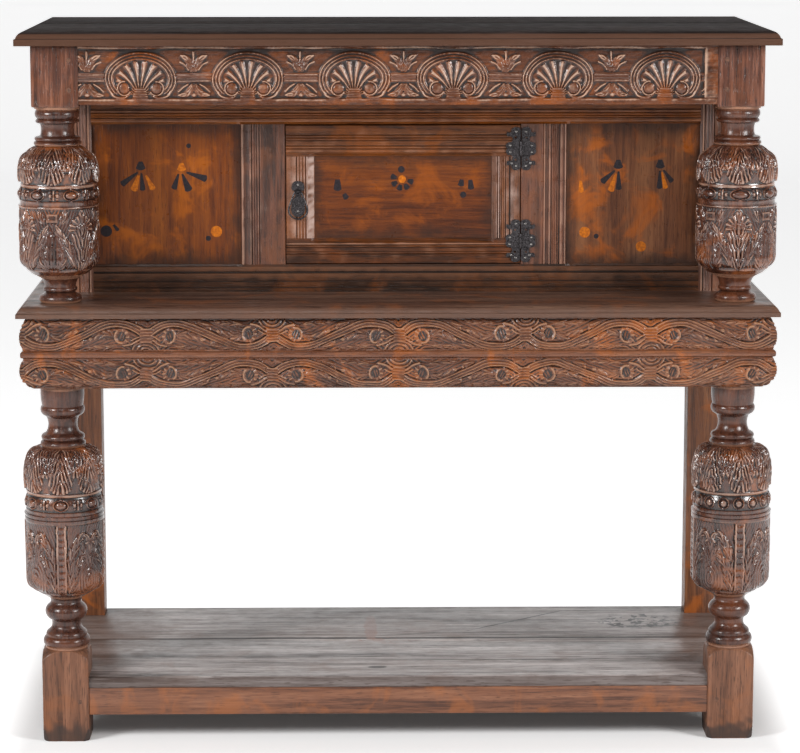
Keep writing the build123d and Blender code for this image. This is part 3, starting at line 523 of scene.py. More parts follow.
def makeLights():
    aim = Vector((0, 0, 0.62))
    for name, lamp in lamps.items():
        data = bpy.data.lights.new(name, "AREA")
        data.shape = "SQUARE"
        data.size = lamp["size"]
        data.energy = lamp["power"]
        light = bpy.data.objects.new(name, data)
        light.location = lamp["at"]
        light.rotation_euler = (aim - Vector(lamp["at"])).to_track_quat("-Z", "Y").to_euler()
        scene.collection.objects.link(light)
    world = bpy.data.worlds.new("softRoom")
    scene.world = world
    world.use_nodes = True
    w = Wires(world.node_tree)
    back = w.tree.nodes["Background"]
    w.fill(back, {"Color": white, "Strength": room["around"]})
    bright = w.add("Background", {"Color": white, "Strength": 1.0}).outputs[0]
    seen = w.add("LightPath").outputs["Is Camera Ray"]
    w.fill(w.tree.nodes["World Output"], {"Surface": w.either(seen, back.outputs[0], bright)})


def makeCamera():
    data = bpy.data.cameras.new("camera")
    data.lens = view["lens"]
    data.sensor_width = 36
    camera = bpy.data.objects.new("camera", data)
    camera.location = view["at"]
    camera.rotation_euler = [math.radians(a) for a in (90 - view["pitch"], view["roll"], -view["yaw"])]
    scene.collection.objects.link(camera)
    scene.camera = camera
    scene.view_settings.view_transform = "Standard"


makeStage()
makeLights()
makeCamera()
say("room, lights and camera")


# carved top rail: palmettes under horseshoe arches
archRail = {
    "centres": (-412.0, -241.0, -71.0, 87.0, 255.0, 427.0),
    "endGap": 85,                    # from the outer arches to the spaces beyond them
    "spacing": 1.15,
    "thick": 24.0,
    "ground": -3.0,
    "arch": (54.5, 41.0, 41.0),      # half width, rise and middle
    "lineGap": 4.9,
    "berry": (25.5, 26.0, 8.4),
    "fan": (14, 59, 13.5),           # height of its foot, reach, and degrees from leaf to leaf
    "plainEnd": 489.0,
    "between": (                     # a forked leaf above the straps and a curled leaf below
        (leaf, [(2, 52), (4, 62), (11, 73), (22, 79)], 6.0, -0.3, 4.0),
        (ridge, [(8, 56), (14, 64), (22, 68)], 1.7, -0.7),
        (leaf, [(2, 34), (5, 25), (13, 17), (26, 15)], 5.8, -0.3, 4.0),
        (ridge, [(10, 33), (18, 28), (25, 21)], 1.7, -0.6),
    ),
    "volute": ((ridge, [(48, 21), (43, 14), (33, 11), (23, 12.5), (18, 18)], 2.3, -0.3),),
}


def lunetteHeights(x, z):
    s = archRail
    ground = s["ground"]
    x = x + 1.2 * ripple(x, z, 70, 3)
    v = z - cabinet["topRailZ"][0] + 0.8 * ripple(x, z, 60, 4)
    centres = np.array(s["centres"])
    u = np.abs(x[..., None] - centres).min(-1)
    rx, rz, middle = s["arch"]
    q = np.sqrt((u / rx) ** 2 + ((v - middle) / rz) ** 2) + 1e-6
    slope = np.sqrt((u / rx ** 2) ** 2 + ((v - middle) / rz ** 2) ** 2) / q
    out = (q - 1) / np.maximum(slope, 1e-3)
    # straps and leaves in the spaces between the arches
    mids = [centres[0] - s["endGap"], *(centres[1:] + centres[:-1]) / 2, centres[-1] + s["endGap"]]
    w = np.abs(x[..., None] - np.array(mids)).min(-1)
    between = np.where((v > 36) & (v < 51), -1.1 - 1.1 * waves(v - 38.5, 4.7), ground)
    between = carve(between, w, v, s["between"])
    between = ridge(between, w, v, [(0, 56), (0, 84)], 1.8, -0.5)
    between = dome(between, w, v, (0, 16), 5, 4, -0.4, -2.6)
    h = np.where(out > 3.2, between, ground)
    # fan of hollowed leaves from a tied foot
    foot, reach, pitch = s["fan"]
    r = np.hypot(u, v - foot)
    phi = np.degrees(np.arctan2(u, v - foot))
    bend = phi - 13 * (r / 55) ** 2 * (phi / 60)
    flute = np.abs(np.cos(np.pi * (bend / pitch + 0.5)))
    limit = reach - 25 * (phi / 78) ** 2 + 2.2 * np.cos(math.tau * bend / pitch)
    fan = smoothStep(limit + 0.8, limit - 0.8, r) * smoothStep(86, 80, phi) * smoothStep(7, 10, r)
    surface = -2.7 + 2.5 * flute ** 3.4 - 0.3 * smoothStep(30, 55, r)
    h = np.maximum(h, ground + (surface - ground) * fan)
    # three ridged lines of the arch, their ends curled in round the berries
    band = smoothStep(3.6, 2.8, out) * smoothStep(-12.4, -11.6, out) * smoothStep(15, 20, v)
    lines = -2.3 + 2.2 * waves(out - 0.8, s["lineGap"], 0.5) ** 1.8
    h = np.where(band > 0.02, ground + (lines - ground) * band, h)
    h = carve(h, u, v, s["volute"])
    bx, bz, br = s["berry"]
    h = np.where(np.hypot(u - bx, v - bz) < br + 4.2, ground + 0.2, h)
    turns = np.radians(np.linspace(-150, 95, 14))
    rim = [(bx + (br + 2.6) * math.cos(a), bz + (br + 2.6) * math.sin(a)) for a in turns]
    h = ridge(h, u, v, rim, 1.6, -0.1)
    h = dome(h, u, v, (bx, bz), br, br, -0.2, -2.4)
    tied = (u < 12.5 - 0.25 * (v - 10)) & (v > 9) & (v < 27)
    h = np.where(tied, -0.5 - 1.4 * waves(v - 10, 3.8), h)
    # plain margins
    plain = np.maximum(smoothStep(10.6, 9.4, v), smoothStep(88.5, 90, v))
    plain = np.maximum(plain, smoothStep(s["plainEnd"], s["plainEnd"] + 1.5, x))
    return h * (1 - plain) - 0.9 * notch(v - 9.2, 1.2) + 0.12 * ripple(x, z, 9, 5)


def makeArchRail(material):
    s = archRail
    low, high = cabinet["topRailZ"]
    wide, faceY = cabinet["innerX"], cabinet["faceY"]
    columns, rows = round(2 * wide / s["spacing"]), round((high - low) / s["spacing"])
    x, z = np.meshgrid(np.linspace(-wide, wide, columns + 1), np.linspace(low, high, rows + 1))
    h = lunetteHeights(x, z)
    front = np.stack([x, faceY - h, z], -1)
    back = np.stack([x, np.full(x.shape, faceY + s["thick"]), z], -1)
    beside = np.abs(x[..., None] - np.array(s["centres"])).min(-1)
    # painted shade: the arch crowns are made duller, where the side lamps leave them unlit
    shadedCrown = smoothStep(20, 34, z - low - s["arch"][2]) * smoothStep(44, 24, beside)
    paleShare = smoothStep(s["plainEnd"], s["plainEnd"] + 3, x)
    bm, wear = carvedSheet(front, back, wearAndLightOf(h) - 0.2 * shadedCrown + 0.15 * paleShare)
    keep("topRailCarved", bm, "top_rail_front", material, wear)


# frieze cushions: a running scroll with eyes, tied every 204 mm
scroll = {
    "tie": 204.0,
    "eye": (38.0, -1.5, 7.0, 8.4),      # middle and half sizes
    "spacing": 1.05,
    "ground": -2.5,
    "sideShift": 103,                   # brings an eye near each corner
    "stem": ((-6, 3), (6, 5.5), (15, 11.5), (26, 17), (40, 19.6), (56, 19), (70, 15), (84, 8.5), (102, 0),
             (120, -8.5), (134, -15)),
    "leaves": (                         # behind the eye, and along the borders
        (leaf, [(50, -2), (62, 3), (76, 2), (94, -9)], 9.5, -0.4, 5.2, 1.7, -2.8, 4, 0.7),
        (leaf, [(46, -17), (62, -20), (80, -21), (100, -23)], 5.5, -0.5, 5.0, 1.4),
        (leaf, [(60, 25), (78, 21), (96, 14), (112, 3)], 6.5, -0.4, 5.0, 1.6, -2.8, 4),
        (leaf, [(2, 25), (16, 22), (30, 25)], 4.5, -0.6, 4.6, 1.2),
    ),
    "strands": (                        # from the tie under the eye
        (ridge, [(2, -4), (12, -8), (22, -15), (34, -18)], 2.6, -0.2),
        (ridge, [(6, -1), (14, -3), (22, -8)], 1.8, -0.4),
    ),
}
cushions = {
    "lower": {"low": 592.0, "carved": 52.0, "flip": -1, "seed": 0,
              "steps": ((4, 0), (24.5, 25, 19, 52), (20.2, 52.6), (22.6, 54.4), (23, 57.5), (22.8, 61.2),
                        (20.4, 63.6))},
    "upper": {"low": 655.6, "carved": 53.0, "flip": 1, "seed": 7,
              "steps": ((19, 0), (24.5, 25, 15, 52.9), (15, 54.4))},
}


def scrollHeights(x, w, flip, seed):
    # x along the cushion and w across it, from its middle; gives heights and the eyes' hollows
    s = scroll
    x = x + 2.2 * ripple(x, w, 80, seed)
    w = (w + 1.1 * ripple(x, w, 55, seed + 1)) * flip
    a = np.abs((x + s["tie"]) % (2 * s["tie"]) - s["tie"])
    far = a > s["tie"] / 2
    a, w = np.where(far, s["tie"] - a, a), np.where(far, -w, w)
    d = nearLine(a, w, flowing(s["stem"]), 44)[0]
    h = s["ground"] + 0.5 * np.cos(math.tau * d / 5.2)
    h = carve(h, a, w, s["leaves"])
    # arch opposite each tie
    q = np.hypot(a / 1.25, w + 28)
    h = np.where(q < 18.5, -0.4 - 1.9 * waves(q - 17.0, 5.6), h)
    # the eye's curl, with rays behind it
    ex, ez, rx, rz = s["eye"]
    ring = np.sqrt(((a - ex) / rx) ** 2 + ((w - ez) / rz) ** 2)
    out = (ring - 1) * (rx + rz) / 2
    curl = smoothStep(-6, 4, a - ex + 0.6 * (ez - w))
    lip = np.maximum(h, -2.4 + 2.2 * np.sin(np.pi * (out - 0.6) / 5.0) * curl)
    h = np.where((out > 0.6) & (out < 5.6), lip, h)
    rays = np.degrees(np.arctan2(w - ez, ex - a))
    near = (out > 0.4) & (out < 6.5) & (np.abs(rays) < 80)
    h = np.where(near, -0.7 - 1.5 * np.abs(np.sin(np.radians(rays) * 4.5)), h)
    h = carve(h, a, w, s["strands"])
    # the stem, three fine ridges, over everything but the tie
    inside = smoothStep(6.9, 6.1, d)
    h = h * (1 - inside) + (-1.9 + 1.8 * waves(d, 4.6, 0.5) ** 1.4) * inside
    h = h - 1.3 * notch(d - 7.0, 1.2)
    h = np.where((a < 9.5) & (np.abs(w) < 11), -0.2 - 1.6 * waves(w, 5.0), h)
    # the eye: a punched oval hollow
    hollow = smoothStep(0.4, -0.9, out)
    h = h * (1 - hollow) + (-3.2 + 0.5 * np.cos(1.3 * a + 0.5 * w)) * hollow
    return h + 0.15 * ripple(x, w, 8, seed + 2), hollow


def arcThrough(start, middle, end, spacing):
    (x1, y1), (x2, y2), (x3, y3) = corners = start, middle, end
    s1, s2, s3 = (x ** 2 + y ** 2 for x, y in corners)
    d = 2 * (x1 * (y2 - y3) + x2 * (y3 - y1) + x3 * (y1 - y2))
    cx = (s1 * (y2 - y3) + s2 * (y3 - y1) + s3 * (y1 - y2)) / d
    cy = (s1 * (x3 - x2) + s2 * (x1 - x3) + s3 * (x2 - x1)) / d
    radius = math.hypot(x1 - cx, y1 - cy)
    turns = [math.atan2(y - cy, x - cx) for x, y in corners]
    for i in (1, 2):
        turns[i] -= math.tau * round((turns[i] - turns[i - 1]) / math.tau)
    count = max(4, math.ceil(radius * abs(turns[2] - turns[0]) / spacing))
    angles = np.linspace(turns[0], turns[2], count + 1)[1:]
    return [(cx + radius * math.cos(a), cy + radius * math.sin(a)) for a in angles]


def outlineOf(steps, spacing=1.0):
    # (a, b) is a straight step and (am, bm, a, b) an arc through its middle point
    line = [steps[0]]
    for step in steps[1:]:
        line += [step] if len(step) == 2 else arcThrough(line[-1], step[:2], step[2:], spacing)
    return line


def evenOutline(steps, spacing):
    # evenly spaced points of an outline, their distance along it and the directions out of the wood
    p = np.array(outlineOf(steps), float)
    run = np.concatenate([[0], np.cumsum(np.hypot(*np.diff(p, axis=0).T))])
    at = np.linspace(0, run[-1], max(2, round(run[-1] / spacing)) + 1)
    points = np.stack([np.interp(at, run, p[:, 0]), np.interp(at, run, p[:, 1])], -1)
    tangent = np.gradient(points, axis=0)
    tangent /= np.hypot(tangent[:, 0], tangent[:, 1])[:, None]
    return points, at, np.stack([tangent[:, 1], -tangent[:, 0]], -1)


def makeCushion(level, place, material, seed):
    s, c = scroll, cushions[level]
    faceY, backY, outerX = cabinet["faceY"], cabinet["postBackY"], cabinet["outerX"]
    section, _, outward = evenOutline(c["steps"], s["spacing"])
    half = outerX if place == "front" else (backY - faceY) / 2
    hand = -1 if place == "left" else 1
    u = np.linspace(-1, 1, round(2 * (half + 14) / s["spacing"]) + 1)[None, :]

    def seat(out, z):
        # mitred at the corners
        if place == "front":
            return np.stack([u * (half + out), faceY - out, z], -1)
        start = faceY - out
        return np.stack([hand * (outerX + out), start + (backY - start) * (u + 1) / 2, z], -1)

    out, z = section[:, :1] + 0 * u, c["low"] + section[:, 1:] + 0 * u
    across = z - c["low"] - c["carved"] / 2
    along = seat(out, z)[..., 0 if place == "front" else 1]
    pattern = along if place == "front" else along - faceY - s["sideShift"]
    h, hollow = scrollHeights(pattern, across, c["flip"], seed)
    off = np.abs(across) - c["carved"] / 2
    edge = smoothStep(c["carved"] / 2 - 0.3, c["carved"] / 2 - 1.6, np.abs(across))
    h = h * edge - 0.7 * (1 - edge) * (off < 0.6) + 0.10 * ripple(along, across, 25, seed + 5)
    # the eye hollows are darker still: grime with painted shade
    wear = np.where(off > 2.5, 0.62, wearAndLightOf(h) - 0.14 * hollow * (off < 0))
    front = seat(out + h * outward[:, :1], z + h * outward[:, 1:])
    bm, wear = carvedSheet(front, seat(0 * out, z), wear)
    node = f"frieze_{level}_{place}"
    keep(camelName(node), bm, node, material, wear)


# turned columns with carved bulbs; outlines are (radius, height) steps
turning = {
    "block": 76.0,
    "radius": 65.0,            # of the bulbs, where their carving is laid out
    "around": 380,
    "rowGap": 1.15,
    "stemSteps": 72,
    "stemGap": 1.6,
    "footTop": 153.0,
    "blockCell": (3.0, 1.6),   # gap between points, and how far the arrises are rubbed
    "footCell": (2.0, 2.2),
    "lower": {
        "base": 153.0, "head": cabinet["middleRailZ"], "top": 710.0, "necks": ((30, 98), (30, -108)),
        "stemUp": ((35, 0), (35, 3), (38.5, 11, 35.5, 19), (33.5, 20), (33.5, 25, 29, 30), (25.5, 34),
                   (23.8, 41, 25, 47), (27, 48.5), (34.5, 61, 27.5, 74), (26, 76), (25.5, 81, 29, 86),
                   (37, 91)),
        "cup": ((37, 91), (49, 98), (60.5, 106, 64.5, 120), (65.5, 230), (62.5, 230.4)),
        "band": ((62.0, 234), (65, 247.5, 62, 260), (61, 265)),
        "cover": ((61.2, 265.4), (63.5, 266), (66.4, 293, 62, 321), (57, 331, 47, 337), (34, 338.5)),
        "headDown": ((34, -100.5), (37, -96, 34, -91), (32, -90), (35.5, -85, 32, -80), (28, -78),
                     (23.7, -63, 27, -51), (32, -48), (36, -41, 34.5, -34), (33.5, -33), (35.5, -17, 35, 0)),
    },
    "upper": {
        "base": cabinet["ledgeZ"], "head": 1047.0, "top": 1146.0, "necks": ((30, 56), (30, -70)),
        "stemUp": ((31, 0), (34.5, 6.5, 31, 13), (27, 14), (23, 18), (27.5, 21, 25, 26), (27, 34, 32, 41),
                   (46, 48)),
        "cup": ((46, 48), (58, 59), (63, 66, 64.8, 78), (65.2, 160), (62.4, 160.4)),
        "band": ((62, 166), (65.5, 177, 62, 188), (60.7, 192)),
        "cover": ((60.9, 192.5), (62.7, 194), (66.2, 211, 63.5, 230), (59.5, 238.5, 51, 245),
                  (42, 252, 35, 255)),
        "headDown": ((35, -63), (38.6, -59.5, 36, -56), (34.6, -55.3), (37.2, -52, 33.5, -49), (28, -47),
                     (26.5, -37, 28, -28), (32.5, -27), (35, -24, 33, -21), (31.8, -20.4), (36, -12, 33, -5),
                     (37, -4), (37, 0)),
    },
}
columns = {
    "lower_column_left": {"x": -1, "turn": 0.0, "beads": 7, "long": 11.0, "seed": 11},
    "lower_column_right": {"x": 1, "turn": 7.0, "beads": 16, "long": 7.5, "seed": 12},
    "upper_column_left": {"x": -1, "turn": 40.0, "beads": 7, "long": 11.5, "seed": 13},
    "upper_column_right": {"x": 1, "turn": -3.0, "beads": 7, "long": 15.0, "seed": 14},
}
acanthus = {
    "between": (               # a ribbed leaf, diagonals to a heart over the tulip, fronds at the shoulder
        (leaf, [(4, 2), (14, 14), (16, 30), (8, 46)], 8.5, 0.3, 5.6, 1.8, -2.2, 3),
        (leaf, [(38, 8), (31, 32), (19, 58), (5, 82)], 7.4, 0.6, 5.4, 1.7, -3.2, 5),
        (leaf, [(23, 26), (16, 48), (10, 64), (3, 73)], 5.6, -0.2, 5.0, 1.5, -3.0),
        (leaf, [(0, 30), (0, 46), (0, 66)], 6.0, -0.5, 5.2, 1.6, -2.6),
        (leaf, [(14, 82), (20, 92), (22, 106)], 6.0, -0.3, 5.0, 1.4, -3.0),
    ),
    "tall": ((leaf, [(0, 0), (0, 40), (0, 104)], 20.0, 0.6, 5.6, 2.3, -3.2, 6),),
}
ribbed = {
    "between": (
        (leaf, [(0, 56), (0, 76), (0, 106)], 11.0, -0.4, 5.4, 1.7, -2.8, 3),
        (leaf, [(4, 66), (12, 82), (17, 96), (15, 108)], 6.5, -0.2, 5.2, 1.6),
    ),
    "beside": (
        (leaf, [(12, 6), (13, 36), (15, 66), (21, 94), (31, 110)], 8.4, 0.3, 5.6, 1.9, -2.8, 6),
        (leaf, [(17, 72), (25, 92), (33, 107), (42, 110), (46, 101), (41, 94)], 7.6, 0.5, 5.4, 1.7, -2.6, 4),
        (leaf, [(18, 50), (28, 64), (37, 75), (45, 73)], 7.0, 0.1, 5.2, 1.6, -2.6, 3),
        (leaf, [(16, 24), (23, 42), (27, 60)], 6.0, -0.3, 5.0, 1.5, -2.6),
    ),
}


def acanthusCup(a, v, tall):
    # tall leaves every quarter turn, tulip leaves between them; a is millimetres from a tall leaf's midrib
    b = np.abs(turning["radius"] * math.pi / 4 - a)
    h = -3.1 + 0.9 * np.abs(np.sin(np.pi * (0.45 * v - b) / 5.4))
    h = np.where((b < 9.5) & (v > tall - 23) & (v < tall - 9), -0.9, h)
    h = np.where((b < 5.0) & (v > tall - 19) & (v < tall - 13), -2.2, h)
    h = dome(h, b, v, (0, 28), 26, 40, -0.2, -3.0)
    h = h - 1.9 * notch(((b + 2.7) % 5.4) - 2.7, 1.3) * (b < 25) * smoothStep(64, 46, v)
    h = carve(h, b, v, acanthus["between"])
    h = carve(h, a, v, acanthus["tall"])
    # its rayed round top, and a cut beside the midrib
    r = np.hypot(a, v - (tall - 34))
    phi = np.degrees(np.arctan2(a, v - (tall - 34)))
    rays = 0.7 - 2.4 * (0.5 - 0.5 * np.cos(np.radians(phi) * 15)) * smoothStep(4, 10, r)
    top = smoothStep(22.5 + 1.6 * np.cos(np.radians(phi) * 15), 20.8, r) * smoothStep(112, 96, phi)
    h = np.where(top > 0, np.maximum(h, -3.2 + (rays + 3.2) * top), h)
    h = h - 1.6 * notch(a - 3.4, 1.2) * smoothStep(8, 16, v) * smoothStep(tall - 20, tall - 30, v)
    return h * smoothStep(tall - 0.5, tall - 3.5, v) * smoothStep(-1, 3, v)


def ribbedCup(a, v, tall):
    # an upright beaded rib every quarter turn, curled leaves beside it, a husk of nested arches between
    b = np.abs(turning["radius"] * math.pi / 4 - a)
    h = -2.7 + 0.8 * np.abs(np.sin(np.pi * (0.4 * v + b) / 5.4))
    q = np.sqrt((b / 23) ** 2 + ((v - 34) / 40) ** 2) * 23
    h = np.where(q < 23.5, np.maximum(h, -1.0 - 1.2 * waves(q - 21.5, 5.4)), h)
    h = carve(h, b, v, ribbed["between"])
    h = carve(h, a, v, ribbed["beside"])
    steps = -0.5 - 0.9 * waves(v + 0.5 * a * smoothStep(60, 30, v), 10.5, 0.5) ** 2
    h = np.where(a < 8.6, np.where(a > 5.2, 0.1, steps - 0.5 * (a < 1.1)), h)
    h = h - 1.2 * notch(a - 9.4, 1.2) * (v < tall - 14)
    top = smoothStep(tall - 13.5, tall - 11.5, v)
    h = h * (1 - top) - 0.5 * top - 1.3 * notch(v - (tall - 5), 1.4)
    return h * smoothStep(tall - 0.5, tall - 2.0, v) * smoothStep(-1, 3, v)


def leafCover(turn, v, tall, seed):
    # overlapping feathered leaves that hang from the neck; turn is the angle in radians
    radius = turning["radius"]
    h = np.full(turn.shape, -3.0)
    for shift, reach, lift in ((0.5, 0.70, -0.9), (0.0, 1.0, 0.0)):
        count = 8
        step = math.tau / count
        local = folded(turn + shift * step, step) * radius
        drop = tall - v                                    # distance down from the neck
        length = tall * reach - 3
        width = 25.0 * np.sin(np.pi * np.clip(0.10 + 0.80 * drop / length, 0, 1)) ** 0.55
        width = width * (0.93 + 0.09 * np.abs(np.sin(np.pi * drop / 11.0)))
        tip = drop + 0.022 * local ** 2
        inside = smoothStep(0.6, -0.6, local - width) * smoothStep(length + 0.5, length - 1.0, tip)
        wander = local + 1.5 * ripple(turn * radius, v, 22, seed + count)
        vein = np.abs(np.sin(np.pi * (wander - 0.30 * drop + 6) / 6.0))
        curl = smoothStep(length - 16, length - 4, drop)
        surface = lift + curl - 1.4 * (local / 24) ** 2 - 2.6 * (1 - vein) ** 1.2 - 1.3 * notch(local, 1.5)
        h = np.where(inside > 0, np.maximum(h, -3.0 + (surface + 3.0) * inside), h)
        for offset in (8.5, 16.5):
            h = h - 1.2 * inside * notch(local - offset * np.clip(drop / length, 0, 1), 1.2)
    return h + 0.3 * ripple(turn * radius, v, 14, seed)


def beadBand(turn, v, tall, count, long):
    # oval cabochons, with small flowers and bars between them where there is room
    step = math.tau / count
    local = folded(turn, step) * turning["radius"]
    gap = step * turning["radius"] / 2 - local
    middle = tall / 2

    def oval(halfWide, halfHigh):
        return np.sqrt((local / halfWide) ** 2 + ((v - middle) / halfHigh) ** 2) < 1

    h = np.where(oval(long + 2.4, 10.5), np.where(oval(long, 8.2), -2.6, -0.5), -2.2)
    h = dome(h, local, v, (0, middle), long - 1.6, 6.8, 1.4, -2.2)
    if count < 10:
        h = np.where((gap < 1.7) & (np.abs(v - middle) < 9), 0.0, h)
        h = dome(h, gap, v, (5.6, middle), 3.0, 4.6, 0.3, -2.2)
        for rise in (-7, 7):
            h = dome(h, gap, v, (5.6, middle + rise), 2.4, 2.4, -0.6, -2.2)
    rims = smoothStep(3.2, 2.2, v) + smoothStep(tall - 3.2, tall - 2.2, v)
    return h * (1 - np.clip(rims, 0, 1))


def carvedTube(sections, centre, lift):
    # sections: an outline and the height function of turn and distance along it
    around = turning["around"]
    angles = np.arange(around) / around * math.tau
    rings, outwards, heights = [], [], []
    for steps, relief in sections:
        p, run, outward = evenOutline(steps, turning["rowGap"])
        turnGrid, runGrid = np.meshgrid(angles, run)
        rings.append(p)
        outwards.append(outward)
        heights.append(relief(turnGrid, runGrid, run[-1]))
    p, outward, h = map(np.vstack, (rings, outwards, heights))
    rows = len(p) - 1
    radius = p[:, :1] + h * outward[:, :1]
    z = p[:, 1:] + h * outward[:, 1:] + lift
    bm = bmesh.new()
    bmesh.ops.create_cone(bm, cap_ends=False, segments=around, radius1=1, radius2=1, depth=1)
    upright = [e for e in bm.edges if abs(e.verts[0].co.z - e.verts[1].co.z) > 0.5]
    bmesh.ops.subdivide_edges(bm, edges=upright, cuts=rows - 1, use_grid_fill=True)
    co = pointsOf(bm)
    spin = np.rint(np.arctan2(co[:, 1], co[:, 0]) / math.tau * around).astype(int) % around
    row = np.rint((co[:, 2] + 0.5) * rows).astype(int)
    angle = spin / around * math.tau - math.pi / 2             # turn 0 faces the front
    r = radius[row, spin]
    x, y = centre[0] + r * np.cos(angle), centre[1] + r * np.sin(angle)
    placeAt(bm, np.stack([x, y, z[row, spin]], -1))
    bmesh.ops.holes_fill(bm, edges=[e for e in bm.edges if e.is_boundary], sides=0)
    bmesh.ops.recalc_face_normals(bm, faces=bm.faces)
    return bm, wearAndLightOf(h, wrap=True, depth=4.0)[row, spin]


def turnedStem(line, centre, lift):
    # closed turned length from an outline
    bm = bmesh.new()
    points = [(0.0, line[0][1]), *line, (0.0, line[-1][1])]
    verts = [bm.verts.new((r, 0, z)) for r, z in points]
    edges = [bm.edges.new(pair) for pair in zip(verts, verts[1:])]
    bmesh.ops.spin(bm, geom=verts + edges, cent=(0, 0, 0), axis=(0, 0, 1), angle=math.tau,
                   steps=turning["stemSteps"], use_merge=True)
    bmesh.ops.remove_doubles(bm, verts=bm.verts, dist=0.001)
    p = np.array(points)
    prominence = p[:, 0] - blurred(p[:, :1] * np.ones((1, 3)), 3)[:, 0]
    co = pointsOf(bm)
    r = np.hypot(co[:, 0], co[:, 1])
    index = np.argmin((r[:, None] - p[None, :, 0]) ** 2 + (co[:, 2:] - p[None, :, 1]) ** 2, axis=1)
    placeAt(bm, co + (*centre, lift))
    return bm, np.clip(wearAndLightLevels["turned"] + 0.08 * prominence[index], 0.1, 1)


def wornBlock(centre, low, high, grid, seed, lathe=None):
    # squared timber with rubbed arrises; lathe(z) limits the radius where the turning ran into the square
    half, (cell, roundness) = turning["block"] / 2, grid
    low, high = (np.array((centre[0] + d, centre[1] + d, z)) for d, z in ((-half, low), (half, high)))
    bm = bmesh.new()
    bmesh.ops.create_cube(bm, size=1)
    for axis, span in enumerate(high - low):
        edges = [e for e in bm.edges if abs(abs(e.verts[0].co[axis] - e.verts[1].co[axis]) - 1) < 1e-4]
        cuts = max(2, round(span / cell)) - 1
        bmesh.ops.subdivide_edges(bm, edges=edges, cuts=cuts, use_grid_fill=True)
    p = low + (pointsOf(bm) + 0.5) * (high - low)
    r = roundness * (1 + 0.45 * ripple(p[:, 0] + p[:, 1], p[:, 2], 34, seed))[:, None]
    inner = np.clip(p, low + r, high - r)
    away = p - inner
    length = np.maximum(np.linalg.norm(away, axis=1), 1e-6)[:, None]
    p = inner + away / length * np.minimum(length, r)
    wear = wearAndLightLevels["plain"] + 0.22 * np.clip((length - r) / (0.42 * r), 0, 1)[:, 0]
    if lathe is not None:
        middle = ((low + high) / 2)[:2]
        radius = np.maximum(np.hypot(*(p[:, :2] - middle).T), 1e-6)
        shrink = np.minimum(1, lathe(p[:, 2]) / radius)
        p[:, :2] = middle + (p[:, :2] - middle) * shrink[:, None]
        wear = np.where(shrink < 0.995, wearAndLightLevels["shoulder"], wear)   # the turned shoulder is painted darker: painted shade
        # darker towards the bottom of the foot
        wear = wear - 0.40 * smoothStep(54, 12, p[:, 2] + 11 * ripple(p[:, 0], p[:, 2], 22, seed + 3))
    placeAt(bm, p)
    return bm, wear


def joined(parts):
    # several closed meshes as one, with their wear and painted light in order
    whole, wearsAndLight = bmesh.new(), []
    for bm, wear in parts:
        mesh = bpy.data.meshes.new("part")
        bm.to_mesh(mesh)
        bm.free()
        whole.from_mesh(mesh)
        bpy.data.meshes.remove(mesh)
        wearsAndLight.append(wear)
    return whole, np.concatenate(wearsAndLight)


def makeColumn(node, s):
    level, _, side = node.split("_")
    t, gap, seed = turning[level], turning["stemGap"], s["seed"]
    centre = (s["x"] * cabinet["columnX"], cabinet["columnY"])
    shift = math.radians(s["turn"])
    cup = {"lower": ribbedCup, "upper": acanthusCup}[level]

    def cupHeights(turn, v, tall):
        a = folded(turn - shift, math.pi / 2) * turning["radius"]
        return cup(a + 0.7 * ripple(turn * turning["radius"], v, 30, seed), v - 11, tall - 15)

    def bandHeights(turn, v, tall):
        return beadBand(turn - shift * 0.6, v, tall, s["beads"], s["long"])

    def coverHeights(turn, v, tall):
        return leafCover(turn - shift, v, tall, seed) * smoothStep(0, 2.5, v) * smoothStep(tall, tall - 12, v)

    def keepPart(kind, made, material):
        keep(kind + side.capitalize(), made[0], node, wood[material], made[1])

    sections = ((t["cup"], cupHeights), (t["band"], bandHeights), (t["cover"], coverHeights))
    bm, wear = carvedTube(sections, centre, t["base"])
    up = pointsOf(bm)[:, 2] * 1000 - t["base"]
    girdle = (up > t["band"][0][1]) & (up < t["band"][-1][1])
    keepPart(level + "Bulb", (bm, wear - 0.12 * girdle), "oakBulb")
    up, down = (outlineOf(t[key], gap) for key in ("stemUp", "headDown"))
    neck, throat = t["necks"]
    stems = (turnedStem(up + [neck], centre, t["base"]), turnedStem([throat] + down, centre, t["head"]))
    keepPart(level + "Stem", joined(stems), "oakTurned")
    block = wornBlock(centre, t["head"], t["top"], turning["blockCell"], seed + 20)
    keepPart(level + "Block", block, "oakBlock")
    if level == "lower":
        half = turning["block"] / 2

        def lathe(z):
            rise = np.clip((z - 129) / 24, 0, 1)
            worn = 7 * np.clip(1 - z / 38, 0, 1) ** 2
            turned = half * np.sqrt(2.01 - rise ** 2) + 0.4 * rise
            return np.minimum(turned, half * math.sqrt(2) + 0.2 - worn)

        block = wornBlock(centre, 0, turning["footTop"], turning["footCell"], seed + 30, lathe)
        keepPart("foot", block, "oakFoot")


